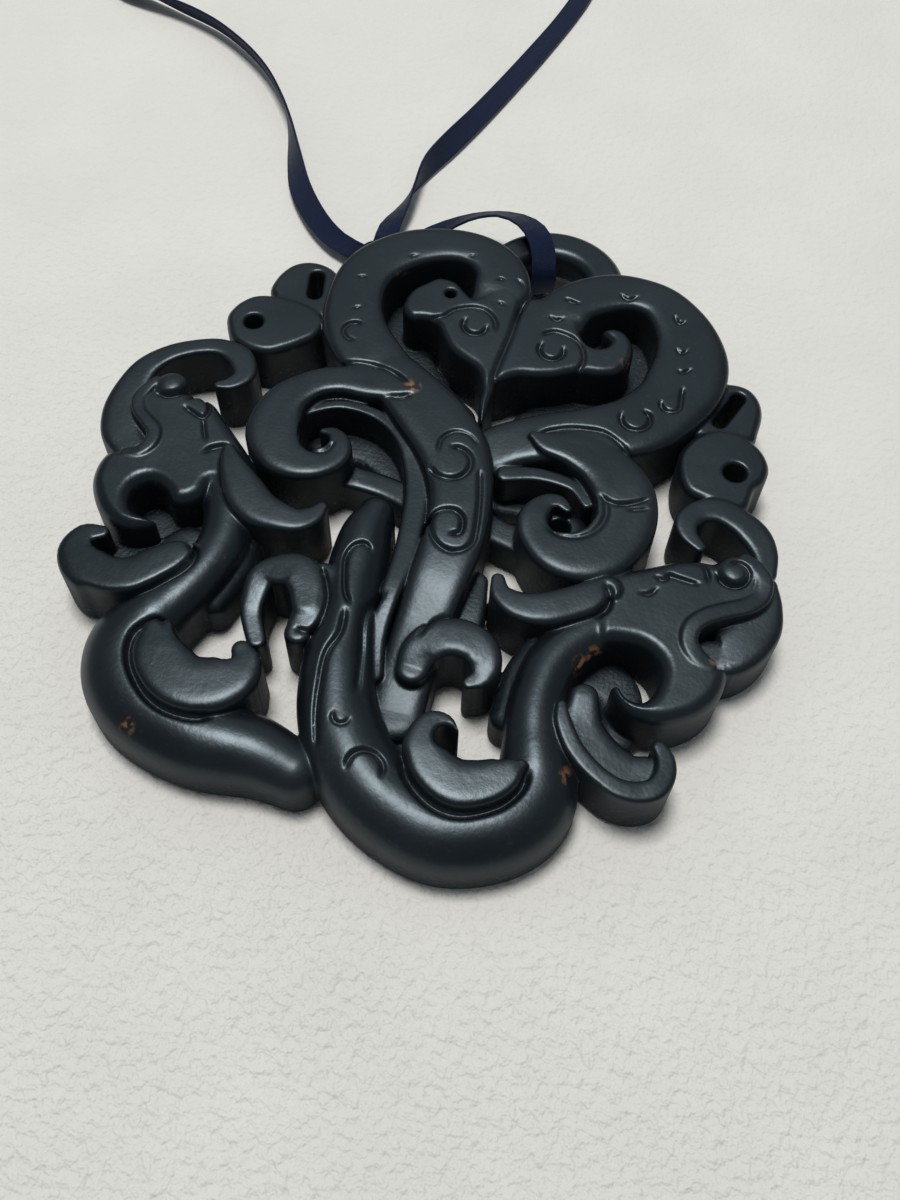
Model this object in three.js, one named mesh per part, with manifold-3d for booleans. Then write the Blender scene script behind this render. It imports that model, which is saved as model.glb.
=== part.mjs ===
import * as THREE from "three";
import { mergeVertices } from "three/addons/utils/BufferGeometryUtils.js";
import Module from "manifold-3d";

// A carved soapstone pendant on a narrow satin ribbon, lying face up.
// Millimetres, +Z up. The flat back lies on z = 0, and +Y points to the hanging ring.
// Two dragons face outward, with their bodies crossed and their tails curled into a heart.

// The stone as a whole.
const pendantWidth = 76.2;
const pendantLength = 81.3;
const stoneThickness = 8;

// The hanging ring at the top. It is thinner than the relief and lifted off the back,
// so that the ribbon passes under it.
const ringBore = 8.4;
const ringBand = 4.7;
const ringTop = 5.6;
const ringLift = 1.3;

// The ribbon.
const ribbonWidth = 3;
const ribbonThickness = 0.5;
const ribbonSides = 8;
const jointGap = 0.3;
const knotRadius = 2.2;
const knotHeight = 3.2;
// The length that isn't laid out lies in a flat coil at each end, its turns side by side.
const coilRadius = 15;
const coilTurns = 2;
const coilHeight = 1;

// The relief is drawn on a sheet of this size, in millimetres, with the ring at the top.
// Every place in the drawing is a share of the stone's real size.
const sheet = { width: 76.2, length: 81.3, thickness: 8 };
const across = pendantWidth / sheet.width;
const along = pendantLength / sheet.length;
const deep = stoneThickness / sheet.thickness;

// The rounding of a strand's edge as a share of its half width, its deepest drop, and how much
// of that the crest has dropped where its flat part ends. The bodies are rounder.
const crisp = { share: 0.62, deepest: 1.5 * deep, crestDrop: 0.08 };
const soft = { share: 0.8, deepest: 3.9 * deep, crestDrop: 0.28 };
const softStrands = ["leftBody", "rightBody", "neck", "neckSkirt"];
// The crest's flat share of the half width.
const crestShare = 0.7;
// The rounded end's size as a share of the strand's, and how near the inside of a curl comes
// to the curl's centre.
const endShare = 0.62;
const innerReach = 0.85;
// The distance between sections along a strand.
const stepLength = 3.4;
const nearest = 1.8;

// A strand is a row of places along its middle: x, y, half width, height of its crest.
// Strands of the two tails, the crossing bodies and what belongs to one side alone.
const singles = {
  leftTail: [
    [-9, 10.4, 3, 7.6], [-13.6, 12.4, 3.6, 8], [-17.6, 16, 3.6, 8], [-19.6, 20.6, 3.3, 8],
    [-19.7, 25.4, 3.2, 8], [-17, 29.8, 3, 8], [-12.8, 32.4, 2.6, 8], [-9, 32.8, 2.6, 8],
    [-5.9, 31.2, 3, 8], [-4.3, 28.2, 3.4, 7.9], [-4.1, 25.4, 3.2, 7.5],
  ],
  centreStrand: [
    [-10, 10.8, 3.2, 8], [-5.4, 7.9, 3.8, 8], [-1.6, 5, 3.9, 8], [1, 1.5, 3.6, 8],
    [2.7, -2.4, 3.3, 8], [3.6, -6.6, 3.2, 7.9], [4, -11.4, 3, 7.5], [4.3, -16, 2.8, 6.5],
    [4.8, -20.6, 2.7, 5.3], [5.6, -25.4, 2.6, 4.6],
  ],
  rightTail: [
    [0, 3.6, 3, 6], [4, 7.4, 3, 7], [8, 9.9, 3.2, 7.6], [12.4, 12.1, 3.5, 8],
    [16.3, 15, 4, 8], [18.6, 19, 4.1, 8], [19.4, 22.6, 4.4, 8], [19.1, 26.3, 4.2, 8],
    [17.2, 30.1, 3.5, 8], [14, 33, 2.8, 8], [10.8, 33.6, 2.6, 8], [7.6, 32.6, 2.9, 8],
    [4.6, 30, 3, 8], [3.4, 27.4, 3.2, 7.9], [3.4, 24.8, 3, 7.5],
  ],
  leftBody: [
    [-21, -24.9, 3.6, 7], [-21.6, -28.6, 4.4, 6.9], [-20, -31.8, 4.5, 6.9],
    [-16.4, -33.9, 4.4, 6.9], [-11, -34.6, 4.2, 6.9], [-5.2, -34, 3.5, 6.6], [-1.1, -34.3, 2.8, 6],
  ],
  rightBody: [
    [19.3, -24.4, 3.2, 7], [20.4, -28, 4.2, 6.9], [18.6, -31.6, 4.4, 6.9], [14, -34.2, 4.4, 6.9],
    [8.8, -33.9, 4.2, 7.1], [4.3, -31.8, 4.1, 7.5], [0.9, -28.4, 3.9, 7.7], [-1.3, -24, 3.6, 7.8],
    [-2.8, -18.6, 3, 7.8], [-4.3, -13, 3, 7.7], [-5.2, -8.6, 2.7, 7.6], [-5.3, -5.8, 1.9, 7.3],
  ],
  leftFoot: [
    [-6.9, -18.9, 1.6, 7.4], [-7.9, -16.9, 2.1, 7.5], [-9.4, -16, 2.1, 7.5], [-11.1, -16.5, 1.8, 7.3],
    [-12.3, -17.7, 1.5, 7], [-12.2, -19.7, 1.3, 6.6], [-11.6, -21.7, 1.1, 6.2], [-9.9, -24, 1, 6],
  ],
  leftPaw: [[-6.6, -15.6, 1.7, 7.3], [-6.2, -19, 1.9, 7.3], [-6.3, -22.2, 1.3, 7]],
  rightFoot: [
    [5.4, -21.2, 1.6, 6.4], [5.5, -19.2, 2, 7], [6.7, -17.5, 2.1, 7.4], [8.6, -16.7, 2.1, 7.5],
    [10.5, -17, 2, 7.4], [11.7, -18.3, 1.7, 7.2], [11.8, -19.8, 1.2, 6.9], [11.1, -20.7, 0.7, 6.7],
  ],
  leftLedge: [
    [-18, 3, 0.8, 6.7], [-16.1, 4.7, 0.7, 6.7], [-14.1, 5.7, 0.7, 6.7], [-11.2, 5.9, 0.7, 6.7],
    [-8.5, 5.2, 0.8, 6.7], [-6, 3.6, 1, 6.7], [-4, 1.2, 1.2, 6.6], [-2.3, -2.1, 1.3, 6.6],
    [-1.2, -5.8, 1.3, 6.6], [-0.3, -10.1, 1.2, 6.7], [0.1, -14.3, 1, 6.8], [0.8, -18.9, 0.8, 6.2],
    [2.1, -22.8, 0.8, 5.6],
  ],
  rightLedge: [
    [5.4, 3.8, 1, 6.6], [8.6, 5.1, 0.9, 6.6], [12.4, 5.2, 0.8, 6.6], [14.6, 3.6, 0.7, 6.6],
  ],
  centreSkirt: [[7.2, -8.5, 1.1, 4.4], [7.8, -12, 1.5, 4.6], [8.6, -15.5, 1.4, 4.4]],
  leftBridge: [[-11, -1.6, 1.5, 4.6], [-6, -1.2, 1.5, 4.4], [0, -2.4, 1.5, 4.6]],
  rightBridge: [[4, -1.4, 1.6, 4.6], [8, -2, 1.6, 4.4], [12, -2.4, 1.6, 4.6]],
  crotchWeb: [[3.6, -24.4, 2.2, 3.4], [8, -26.4, 2.4, 3.2], [10.6, -29, 2.2, 3.4]],
};

// Strands that both dragons have, drawn for the right one. The left one is its mirror image,
// moved by the nudge, or has rows of its own where the carver cut it otherwise.
const pairs = {
  bigScroll: {
    right: [
      [6.6, 8.8, 0.5, 8], [8.3, 8.6, 1.5, 8], [11.3, 8.9, 2.3, 8], [14.7, 8.2, 3, 8],
      [17.5, 6, 3.4, 8], [18.7, 2.6, 3.6, 8], [18.4, -1, 3.4, 8], [16.4, -3.4, 3.1, 8],
      [13.7, -3.9, 2.6, 8], [11.3, -2.7, 2, 7.9], [10.3, -0.8, 1.7, 7.9], [10.8, 1.2, 1.1, 7.8],
      [12, 1.8, 0.8, 7.8], [13.1, 1.3, 0.5, 7.7],
    ],
    left: [
      [-7.8, 9.3, 0.4, 8], [-9.6, 9.3, 1.6, 8], [-12.5, 8.8, 2.1, 8], [-15.7, 8, 1.9, 8],
      [-18.2, 6.2, 1.9, 8], [-19.9, 3, 2.5, 8], [-19.4, -0.9, 3.1, 8], [-16.9, -3.6, 2.7, 8],
      [-13.9, -3.8, 2, 8], [-12, -1.9, 1.8, 7.9], [-12.1, -0.1, 1.3, 7.9], [-13.2, 0.8, 0.8, 7.8],
      [-14.2, 0.6, 0.5, 7.7],
    ],
  },
  crest: {
    right: [
      [20, -6.2, 1.4, 7.9], [18.9, -7.6, 1.8, 8], [17.2, -9.2, 1.9, 8], [15, -10.8, 1.9, 8],
      [12.6, -11.4, 1.6, 7.9], [10.5, -10.8, 1.1, 7.8], [9.6, -9.4, 0.7, 7.7],
    ],
    left: [
      [-22.5, -5.3, 0.5, 7.9], [-21.1, -7.1, 1.4, 8], [-18.6, -9.4, 2.2, 8], [-16.3, -10.8, 2.2, 8],
      [-13.9, -11.1, 1.8, 8], [-11.8, -10.8, 1.4, 7.9], [-10.6, -9.6, 1.1, 7.8], [-10.2, -8.3, 0.6, 7.7],
    ],
  },
  forelock: {
    right: [
      [27, 2.7, 0.6, 6.9], [25.5, 3.8, 1, 6.9], [24.9, 5.3, 1.3, 6.9], [25.7, 7.1, 1.4, 6.8],
      [27.6, 8.1, 1.5, 6.8], [30, 7.7, 1.6, 6.7], [32, 6.6, 1.7, 6.6], [33.4, 4.9, 1.4, 6.5],
      [34.2, 2.8, 1, 6.4],
    ],
    left: [
      [-28, 2.6, 0.5, 6.9], [-26.8, 3.5, 0.9, 6.9], [-26.2, 5.3, 1.3, 6.9], [-27.8, 7.3, 1.5, 6.9],
      [-30.3, 7.8, 1.2, 6.9], [-32.6, 6.9, 1.1, 6.9], [-35.1, 5, 1.2, 6.8], [-36.7, 2.4, 1.5, 6.7],
      [-37, -0.3, 1.9, 6.5], [-36.6, -3.6, 2.2, 6.3], [-35.2, -6.2, 2.4, 6.2], [-33.5, -7.8, 2, 6.1],
    ],
  },
  noseRidge: {
    right: [
      [31.6, 2.5, 0.6, 7.7], [33, 2, 0.8, 7.7], [34.2, 0.7, 0.9, 7.6], [34.3, -1.1, 0.9, 7.5],
      [33.3, -2.7, 0.9, 7.6], [31.6, -4, 0.9, 7.7], [30, -5.4, 0.9, 7.8], [29, -7, 0.9, 7.8],
      [29.1, -8.7, 0.9, 7.7], [30.2, -9.9, 0.9, 7.6], [31.7, -10.4, 0.7, 7.4],
    ],
    left: [
      [-34.1, 0, 0.5, 7.7], [-34.6, -1.5, 0.7, 7.6], [-34.7, -3.1, 0.7, 7.6], [-33.8, -4.4, 0.7, 7.6],
      [-32.4, -5.3, 0.7, 7.7], [-31, -6.2, 0.8, 7.7], [-30.5, -7.7, 0.8, 7.7], [-31, -9.1, 0.7, 7.6],
      [-32.3, -9.8, 0.6, 7.4],
    ],
  },
  muzzle: {
    right: [
      [34.7, 1.2, 1, 6.4], [35.2, -0.9, 1.6, 6.3], [35.2, -3.3, 2.2, 6.2], [34.2, -5.7, 2.6, 6.1],
      [32.8, -7.7, 2.4, 5.9], [31.5, -8.1, 1.6, 5.6],
    ],
    left: [[-34.6, -1.2, 1.6, 5.6], [-34.2, -4.4, 2.2, 5.8], [-33, -7, 2, 5.8]],
  },
  jaw: {
    right: [
      [20, -19.7, 0.5, 7.1], [20.7, -21.2, 0.8, 7.1], [22.2, -23, 0.9, 7], [23.9, -24.2, 0.9, 6.9],
      [25.7, -25, 0.9, 6.8], [27.6, -25.4, 1, 6.7], [29.4, -25, 1.1, 6.6], [30.7, -24, 1.1, 6.6],
      [31.1, -22.4, 1, 6.5], [30.7, -20.9, 0.9, 6.4], [29.8, -19.9, 0.7, 6.3],
    ],
    left: [
      [-29.9, -19.2, 0.8, 6.6], [-31.2, -20.1, 1.4, 6.7], [-31.1, -22, 2, 6.8], [-29.3, -23.3, 2.4, 6.9],
      [-26.7, -23.6, 2.4, 7], [-24.4, -22.7, 2.3, 7.1], [-22.7, -20.7, 2.2, 7.2],
      [-21.4, -18.8, 1.7, 7.2], [-20.4, -17.7, 0.9, 7.1],
    ],
  },
  jawDish: {
    right: [
      [21.6, -17.4, 1.4, 6], [22.6, -20.4, 2, 5.7], [25.2, -22.4, 2.2, 5.5], [27.8, -23, 2.2, 5.4],
      [29.4, -22.2, 1.6, 5.4],
    ],
    left: [[-28, -19, 2, 3], [-24.4, -17.8, 2.4, 3.4], [-22.6, -15.4, 2, 4]],
  },
  mouthFloor: {
    right: [[20.5, -12.6, 2.2, 2.2], [24.2, -13.6, 2.4, 2], [26, -17.6, 2, 2]],
    left: [[-23.4, -13, 2.4, 2.2], [-27.4, -13.8, 2.4, 2], [-29, -17.6, 1.8, 2]],
  },
  neck: {
    nudge: [1, 0.8],
    right: [
      [22.4, -8, 2.2, 6.9], [19.2, -11.2, 2.6, 7.1], [17.5, -15.4, 2.6, 7.1], [17.8, -20.4, 2.7, 7.1],
      [19.8, -25.6, 3.4, 7],
    ],
  },
  neckSkirt: {
    nudge: [1.4, 0.6],
    right: [[15.6, -13, 1.6, 5], [14.9, -17, 1.7, 4.8], [15.2, -21.5, 1.6, 4.8]],
  },
  fin: {
    right: [
      [11.8, -26.4, 0.5, 7.6], [10.7, -25.8, 0.8, 7.7], [9.6, -26.5, 1.4, 7.8], [9.7, -28.6, 2, 7.9],
      [11.3, -30.3, 2.3, 7.9], [13.6, -31, 2.5, 7.9], [15.6, -30.4, 2.5, 7.9], [17.4, -29, 2.1, 7.9],
      [18.3, -27.8, 1.3, 7.9], [18.7, -27.2, 0.6, 7.8],
    ],
    left: [
      [-18.5, -27.5, 1.6, 7.8], [-17.6, -29.2, 2.6, 7.9], [-16.1, -30.6, 3, 7.9], [-13.7, -31.4, 3, 7.9],
      [-11.4, -30.8, 3, 7.9], [-9.6, -29.1, 2.6, 7.9], [-9.3, -27.3, 1.7, 7.8], [-10.1, -26.3, 1, 7.7],
    ],
  },
  pocketFloor: {
    right: [[7.4, 30.4, 2.6, 2], [12.6, 28, 3, 2], [12.6, 22, 3.4, 2], [5.4, 14.4, 3.2, 2]],
    left: [[-8.4, 29.6, 2.8, 2], [-13.8, 28.4, 3, 2], [-15, 22, 3, 2], [-9.4, 15.6, 3, 2], [-3.4, 12.6, 2, 2]],
  },
  scrollFloor: {
    right: [[5.4, 3.8, 2, 2.2], [10, 4.8, 2.4, 2.2], [14, 2.6, 1.8, 2.2]],
    left: [[-5.8, 2.2, 2.2, 2.2], [-10.5, 4.4, 2.4, 2.2], [-15.5, 3.6, 2.4, 2.2]],
  },
};

// Flat-topped forms: height, rounding of the edge, outline.
const plates = {
  leftHeart: { top: 7.7, edge: 0.9, outline: [
    [-11.7, 26.9], [-9.7, 27], [-8.2, 26.1], [-6.7, 25.4], [-5.2, 27.1], [-3.7, 28.2], [-1.7, 27],
    [-0.5, 22.9], [-0.3, 19], [0.1, 15.3], [0.5, 11.8], [0.7, 8.7], [-0.5, 10.9], [-1.1, 13.4],
    [-2.5, 15.5], [-4.4, 16.3], [-6.5, 17.2], [-7.9, 18.6], [-9.2, 20], [-10.8, 20.2], [-12.3, 19.7],
    [-13.7, 20.6], [-14.1, 22.4], [-13.8, 24.1], [-12.9, 25.5],
  ] },
  rightHeart: { top: 7.7, edge: 0.9, outline: [
    [-1.3, 27.2], [0.7, 28.6], [3.3, 28.7], [5.2, 27.6], [6.1, 25.6], [7.2, 24.1], [8.5, 23.7],
    [9.6, 24.3], [9.9, 25.3], [9.1, 25.8], [8.6, 26.5], [9.6, 27.3], [10.9, 27.2], [12.1, 26.2],
    [12.8, 24.6], [12.8, 22.8], [12, 21.1], [10.5, 20.2], [9, 19.8], [7.6, 19.4], [6, 18.2],
    [4, 17.2], [2, 16.5], [0.6, 15.2], [-0.4, 14.6], [-0.9, 16.6],
    [-1, 19.1], [-1.3, 23],
  ] },
  leftHead: { top: 7.4, edge: 1.5, outline: [
    [-34.4, -0.8], [-34, 1.3], [-32.4, 1.9], [-31, 1.1], [-29.9, 0.2], [-28.7, 0.5], [-27.1, 0],
    [-25.1, -1.4], [-22.8, -3], [-20.5, -4.7], [-18.5, -6.6], [-17.6, -8.8], [-20.4, -10],
    [-22.2, -9.6], [-22.3, -11.2], [-23.3, -12.7], [-24.9, -13.3], [-26.4, -12.3], [-28.2, -11.9],
    [-29.2, -12.8], [-29.2, -14.3], [-28.3, -15.6], [-26.8, -15.9], [-25.3, -16.1], [-25.7, -17],
    [-27.3, -17.9], [-29.2, -18], [-31.2, -17.2], [-32.8, -15.8], [-34.1, -13.9], [-34.6, -11.7],
    [-34.2, -10], [-32.7, -9.2], [-31.6, -8.2], [-31.6, -6.7], [-32.9, -5.5], [-34.5, -4.4],
    [-35.4, -2.7],
  ] },
  rightHead: { top: 7.4, edge: 1.5, outline: [
    [18.5, -5.4], [20.3, -3.4], [22.5, -1.9], [24.1, -0.7], [25.7, 0.4], [27.5, 1.1], [28.9, 1.4],
    [30, 2.4], [31.6, 3], [33.2, 2.5], [34.4, 1], [34.5, -1], [33.6, -2.5], [31.9, -3.9],
    [30.3, -5.4], [29.6, -6.8], [29.8, -8.3], [30.8, -9.6], [32.2, -10], [33.4, -10], [33.7, -11.7],
    [33.4, -13.5], [32.4, -15.3], [31, -16.7], [29.3, -17.8], [27.4, -18.2], [25.8, -18], [24.5, -17.2],
    [23.7, -16.1], [24.3, -15.6], [25.4, -16.4], [26.7, -16.4], [27.5, -15.4], [27.7, -13.9],
    [27.4, -12.4], [26.4, -11.3], [24.8, -10.8], [22.9, -11.1], [21.2, -11.6], [19.9, -10.1],
  ] },
  leftLobe: { top: 6.5, edge: 0.9, outline: [
    [-32.1, 12.1], [-32.4, 13.5], [-31.9, 15.4], [-30.6, 17], [-28.1, 17.8], [-23.9, 17.7],
    [-21.6, 16.4], [-21.4, 14], [-22.5, 12.2], [-23.8, 10.7], [-25.2, 9.5], [-26.9, 9], [-28.9, 9.2],
    [-30.6, 10],
  ] },
  leftLeaf: { top: 6.3, edge: 0.9, outline: [
    [-29.4, 18], [-30, 20.2], [-29.5, 22.6], [-28.3, 24.1], [-26.3, 24.8], [-24, 24.3], [-22, 22.4],
    [-21.4, 18.9], [-22.4, 16.6], [-26.3, 16.6],
  ] },
  rightLobe: { top: 6.5, edge: 0.9, outline: [
    [21.6, 13.9], [21.9, 15.5], [22.7, 17.2], [24.6, 18.6], [27.2, 19], [29.6, 17.9], [31, 16],
    [31.1, 14], [30.4, 12.4], [30.2, 9.9], [28.2, 9], [25, 9], [23.4, 9.6], [22.2, 11.4],
  ] },
  rightLeaf: { top: 6.3, edge: 0.9, outline: [
    [22, 24.4], [23.8, 25.8], [26, 26], [27.6, 24.9], [28.5, 23], [28.7, 20.6], [28.5, 18.6],
    [25.9, 17.6], [22.8, 17], [21.4, 19.6],
  ] },
};

// The noses' curls and the middle of the right scroll: x, y, radius, top.
const lobes = [[31.2, 0.6, 2.1, 8], [-32.4, 0.2, 1.8, 7.9], [13.6, -0.4, 2.6, 6.6]];
// The clouds' eyes and the slots beside the tails: the two ends' middles and the radius.
const holes = [
  [27.8, 13.6, 27.8, 13.6, 1.2], [-29, 12.9, -29, 12.9, 1.05],
  [-25.5, 22.4, -24.6, 19.8, 0.8], [25.4, 23.8, 24.4, 19.8, 0.75],
];
const ringCentre = { x: 0, y: 33.6 };

// The ribbon's places: x, y, z, and the turn and the tilt of its width, in degrees.
const knot = { x: -22.3, y: 32.4 };
const loopRoute = [
  [-20.4, 35.4, 1, 130, 0], [-17.4, 38.8, 2.4, 128, -15], [-13.4, 41.2, 4.2, 112, -30],
  [-9.3, 41.6, 5.8, 88, -30], [-5.8, 40.3, 6.8, 62, -15], [-3.4, 38.2, 7, 40, 0],
  [-2, 36.2, 6, 32, 0], [-1.3, 34.7, 4.2, 32, 0], [-1.3, 34.4, 2.2, 34, 0],
  [-2.3, 35.6, 0.8, 38, 0], [-4.2, 38.4, 0.6, 42, 0], [-7.6, 40.4, 0.5, 66, 0],
  [-12, 39.6, 0.5, 102, 0], [-16.2, 37, 0.5, 122, 0], [-19.2, 34.4, 0.5, 128, 0],
];
const leftRoute = [
  [-25, 32.5, 1.6, 75, 0], [-28.4, 33.4, 1.5, 65, 5], [-32.4, 35.9, 1.5, 51, 12],
  [-36.8, 40.2, 1.6, 40, 25], [-40.3, 45.4, 1.7, 33, 55], [-43.4, 50.5, 1.8, 34, 82],
  [-46.8, 55.2, 1.8, 40, 100], [-51.1, 59.6, 1.8, 50, 106], [-56.4, 63.4, 1.8, 60, 111],
  [-63, 66.6, 1.8, 70, 114], [-70, 68.3, 1.8, 79, 117], [-75, 69, 1.6, 83, 140],
  [-79.4, 69.6, 1.2, 85, 165],
];
const rightRoute = [
  [-22.6, 35.2, 1.6, 12, -10], [-23.3, 38.6, 1.6, 5, 15], [-23.2, 42.1, 1.7, 0, 45],
  [-23.3, 46.6, 1.8, 0, 78], [-23.2, 51.1, 1.7, -5, 110], [-22.4, 56.6, 1.4, -9, 140],
  [-21.2, 63.9, 1, -9, 160], [-20, 71.8, 0.8, -8, 168], [-18.9, 79.6, 0.7, -7, 172],
  [-17.9, 88.3, 0.5, -5, 178], [-17.4, 94.6, 0.5, -4, 180], [-17.2, 99.3, 0.5, -3, 180],
];
const leftCoil = { x: -88.9, y: 88.6 };
const rightCoil = { x: -33, y: 113.5 };

const wasm = await Module();
wasm.setup();

const stoneFinish = new THREE.MeshStandardMaterial({ color: 0x1b2225, roughness: 0.38, metalness: 0 });
const ribbonFinish = new THREE.MeshStandardMaterial({ color: 0x101a38, roughness: 0.45, metalness: 0 });

// A smooth row at the share u of the way from row k to the next one. A closed line starts again.
function smoothRow(rows, k, u, closed) {
  const at = (i) => (closed ? rows.at(i % rows.length) : rows[THREE.MathUtils.clamp(i, 0, rows.length - 1)]);
  const [before, next, after] = [at(k - 1), at(k + 1), at(k + 2)];
  return rows[k].map((a, i) => {
    const b = next[i];
    const leaving = (b - before[i]) / 2;
    const arriving = (after[i] - a) / 2;
    const bend = 3 * (b - a) - 2 * leaving - arriving;
    const twist = 2 * (a - b) + leaving + arriving;
    return a + u * (leaving + u * (bend + u * twist));
  });
}

// The rows with smooth ones between them, each about stepLength from the next. Rows that are
// closer than nearest to the one before are left out.
function sampled(rows, closed = false) {
  const places = [];
  const spans = closed ? rows.length : rows.length - 1;
  for (let k = 0; k < spans; k++) {
    const next = rows[(k + 1) % rows.length];
    const reach = Math.hypot(next[0] - rows[k][0], next[1] - rows[k][1]);
    const steps = Math.max(1, Math.round(reach / stepLength));
    for (let i = 0; i < steps; i++) {
      const place = smoothRow(rows, k, i / steps, closed);
      const last = places.at(-1);
      if (!last || Math.hypot(place[0] - last[0], place[1] - last[1]) > nearest) {
        places.push(place);
      }
    }
  }
  return closed ? places : [...places, rows[rows.length - 1]];
}

// The triangles that fill a ring of points without a hollow.
function fan(size) {
  return Array.from({ length: size - 2 }, (unused, i) => [0, i + 1, i + 2]);
}

// A closed mesh through rings of points that all have the same count.
function loft(rings, cap = fan(rings[0].length)) {
  const size = rings[0].length;
  const points = rings.flat();
  const faces = [];
  for (let r = 0; r + 1 < rings.length; r++) {
    for (let i = 0; i < size; i++) {
      const j = (i + 1) % size;
      const [a, b] = [r * size + i, r * size + j];
      faces.push([a, b, b + size], [a, b + size, a + size]);
    }
  }
  const last = (rings.length - 1) * size;
  for (const [a, b, c] of cap) {
    faces.push([a, c, b], [last + a, last + b, last + c]);
  }
  const geometry = new THREE.BufferGeometry();
  geometry.setAttribute("position", new THREE.Float32BufferAttribute(points.flat(), 3));
  geometry.setIndex(faces.flat());
  return geometry;
}

function toSolid(geometry) {
  const bare = geometry.clone();
  bare.deleteAttribute("normal");
  bare.deleteAttribute("uv");
  const merged = mergeVertices(bare, 1e-4);
  return new wasm.Manifold(new wasm.Mesh({
    numProp: 3,
    vertProperties: new Float32Array(merged.attributes.position.array),
    triVerts: new Uint32Array(merged.index.array),
  }));
}

function toGeometry(solid) {
  const mesh = solid.getMesh();
  const geometry = new THREE.BufferGeometry();
  geometry.setAttribute("position", new THREE.BufferAttribute(new Float32Array(mesh.vertProperties), 3));
  geometry.setIndex(new THREE.BufferAttribute(new Uint32Array(mesh.triVerts), 1));
  return geometry;
}

// The middle line of a strand in real millimetres, with its direction and how tightly it turns.
function spine(rows) {
  const places = sampled(rows).map(([x, y, half, top]) => (
    { x: x * across, y: y * along, half: half * across, top: top * deep }
  ));
  return places.map((p, i) => {
    const back = places[Math.max(i - 1, 0)];
    const ahead = places[Math.min(i + 1, places.length - 1)];
    const direction = new THREE.Vector2(ahead.x - back.x, ahead.y - back.y).normalize();
    const arriving = new THREE.Vector2(p.x - back.x, p.y - back.y);
    const leaving = new THREE.Vector2(ahead.x - p.x, ahead.y - p.y);
    const turn = Math.atan2(arriving.cross(leaving), arriving.dot(leaving));
    const radius = (arriving.length() + leaving.length()) / 2 / Math.max(Math.abs(turn), 1e-6);
    return { ...p, direction, turn, radius };
  });
}

// A strand's cross-section: upright walls, a rounded edge and a nearly flat crest.
// On the inside of a tight curl the section stops short of the curl's centre.
function strandSection(p, edge) {
  const drop = Math.min(edge.share * p.half, edge.deepest);
  const shoulder = p.top - edge.crestDrop * drop;
  const left = p.turn > 0 ? Math.min(p.half, innerReach * p.radius) : p.half;
  const right = p.turn < 0 ? Math.min(p.half, innerReach * p.radius) : p.half;
  const profile = [
    [-right, 0], [-right, p.top - drop], [-right * crestShare, shoulder], [0, p.top],
    [left * crestShare, shoulder], [left, p.top - drop], [left, 0],
  ];
  return profile.map(([side, z]) => [p.x - p.direction.y * side, p.y + p.direction.x * side, z]);
}

// A short section beyond a strand's end, which rounds it off.
function endSection(p, sign, edge) {
  return strandSection({
    ...p,
    x: p.x + sign * p.direction.x * p.half * endShare,
    y: p.y + sign * p.direction.y * p.half * endShare,
    half: p.half * endShare,
    top: p.top - edge.share * edge.crestDrop * p.half,
    radius: Infinity,
  }, edge);
}

function strandSolid(rows, edge) {
  const places = spine(rows);
  const rings = [
    endSection(places[0], -1, edge),
    ...places.map((p) => strandSection(p, edge)),
    endSection(places[places.length - 1], 1, edge),
  ];
  return toSolid(loft(rings.map((ring) => ring.reverse())));
}

// The left dragon's rows: its own, or the mirror image of what is drawn for the right one.
function leftRows({ right, left, nudge }) {
  return left ?? right.map(([x, y, ...rest]) => [-(x + nudge[0]), y + nudge[1], ...rest]);
}

// A flat-topped form: upright walls on its outline and a rounded edge.
function plateSolid({ top, edge, outline }) {
  const line = sampled(outline, true).map(([x, y]) => new THREE.Vector2(x * across, y * along));
  if (THREE.ShapeUtils.isClockWise(line)) {
    line.reverse();
  }
  const inward = line.map((p, i) => {
    const along = line[(i + 1) % line.length].clone().sub(line.at(i - 1)).normalize();
    return new THREE.Vector2(-along.y, along.x);
  });
  const ring = (inset, z) => line.map((p, i) => [p.x + inset * inward[i].x, p.y + inset * inward[i].y, z]);
  const [height, round] = [top * deep, edge * deep];
  const rings = [ring(0, 0), ring(0, height - round), ring(round, height)];
  return toSolid(loft(rings, THREE.ShapeUtils.triangulateShape(line, [])));
}

// A round lobe with a domed top, turned about the vertical.
function lobeSolid([x, y, radius, top]) {
  const drop = crisp.share * radius * deep;
  const shoulder = top * deep - soft.crestDrop * drop;
  const outline = [
    [0, 0], [radius, 0], [radius, top * deep - drop], [radius * crestShare, shoulder], [0, top * deep],
  ];
  const geometry = new THREE.LatheGeometry(outline.map(([r, z]) => new THREE.Vector2(r * across, z)), 14);
  geometry.rotateX(Math.PI / 2);
  geometry.translate(x * across, y * along, 0);
  return toSolid(geometry);
}

// A round or long cutter: an upright cylinder, drawn out between its two ends' middles.
function holeCutter([x, y, endX, endY, radius]) {
  const geometry = new THREE.CylinderGeometry(radius, radius, 3 * stoneThickness, 12);
  geometry.rotateX(Math.PI / 2);
  geometry.scale(1, 1 + Math.hypot(endX - x, endY - y) / 2 / radius, 1);
  geometry.rotateZ(-Math.atan2(endX - x, endY - y));
  geometry.translate(((x + endX) / 2) * across, ((y + endY) / 2) * along, stoneThickness);
  return toSolid(geometry);
}

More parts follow.
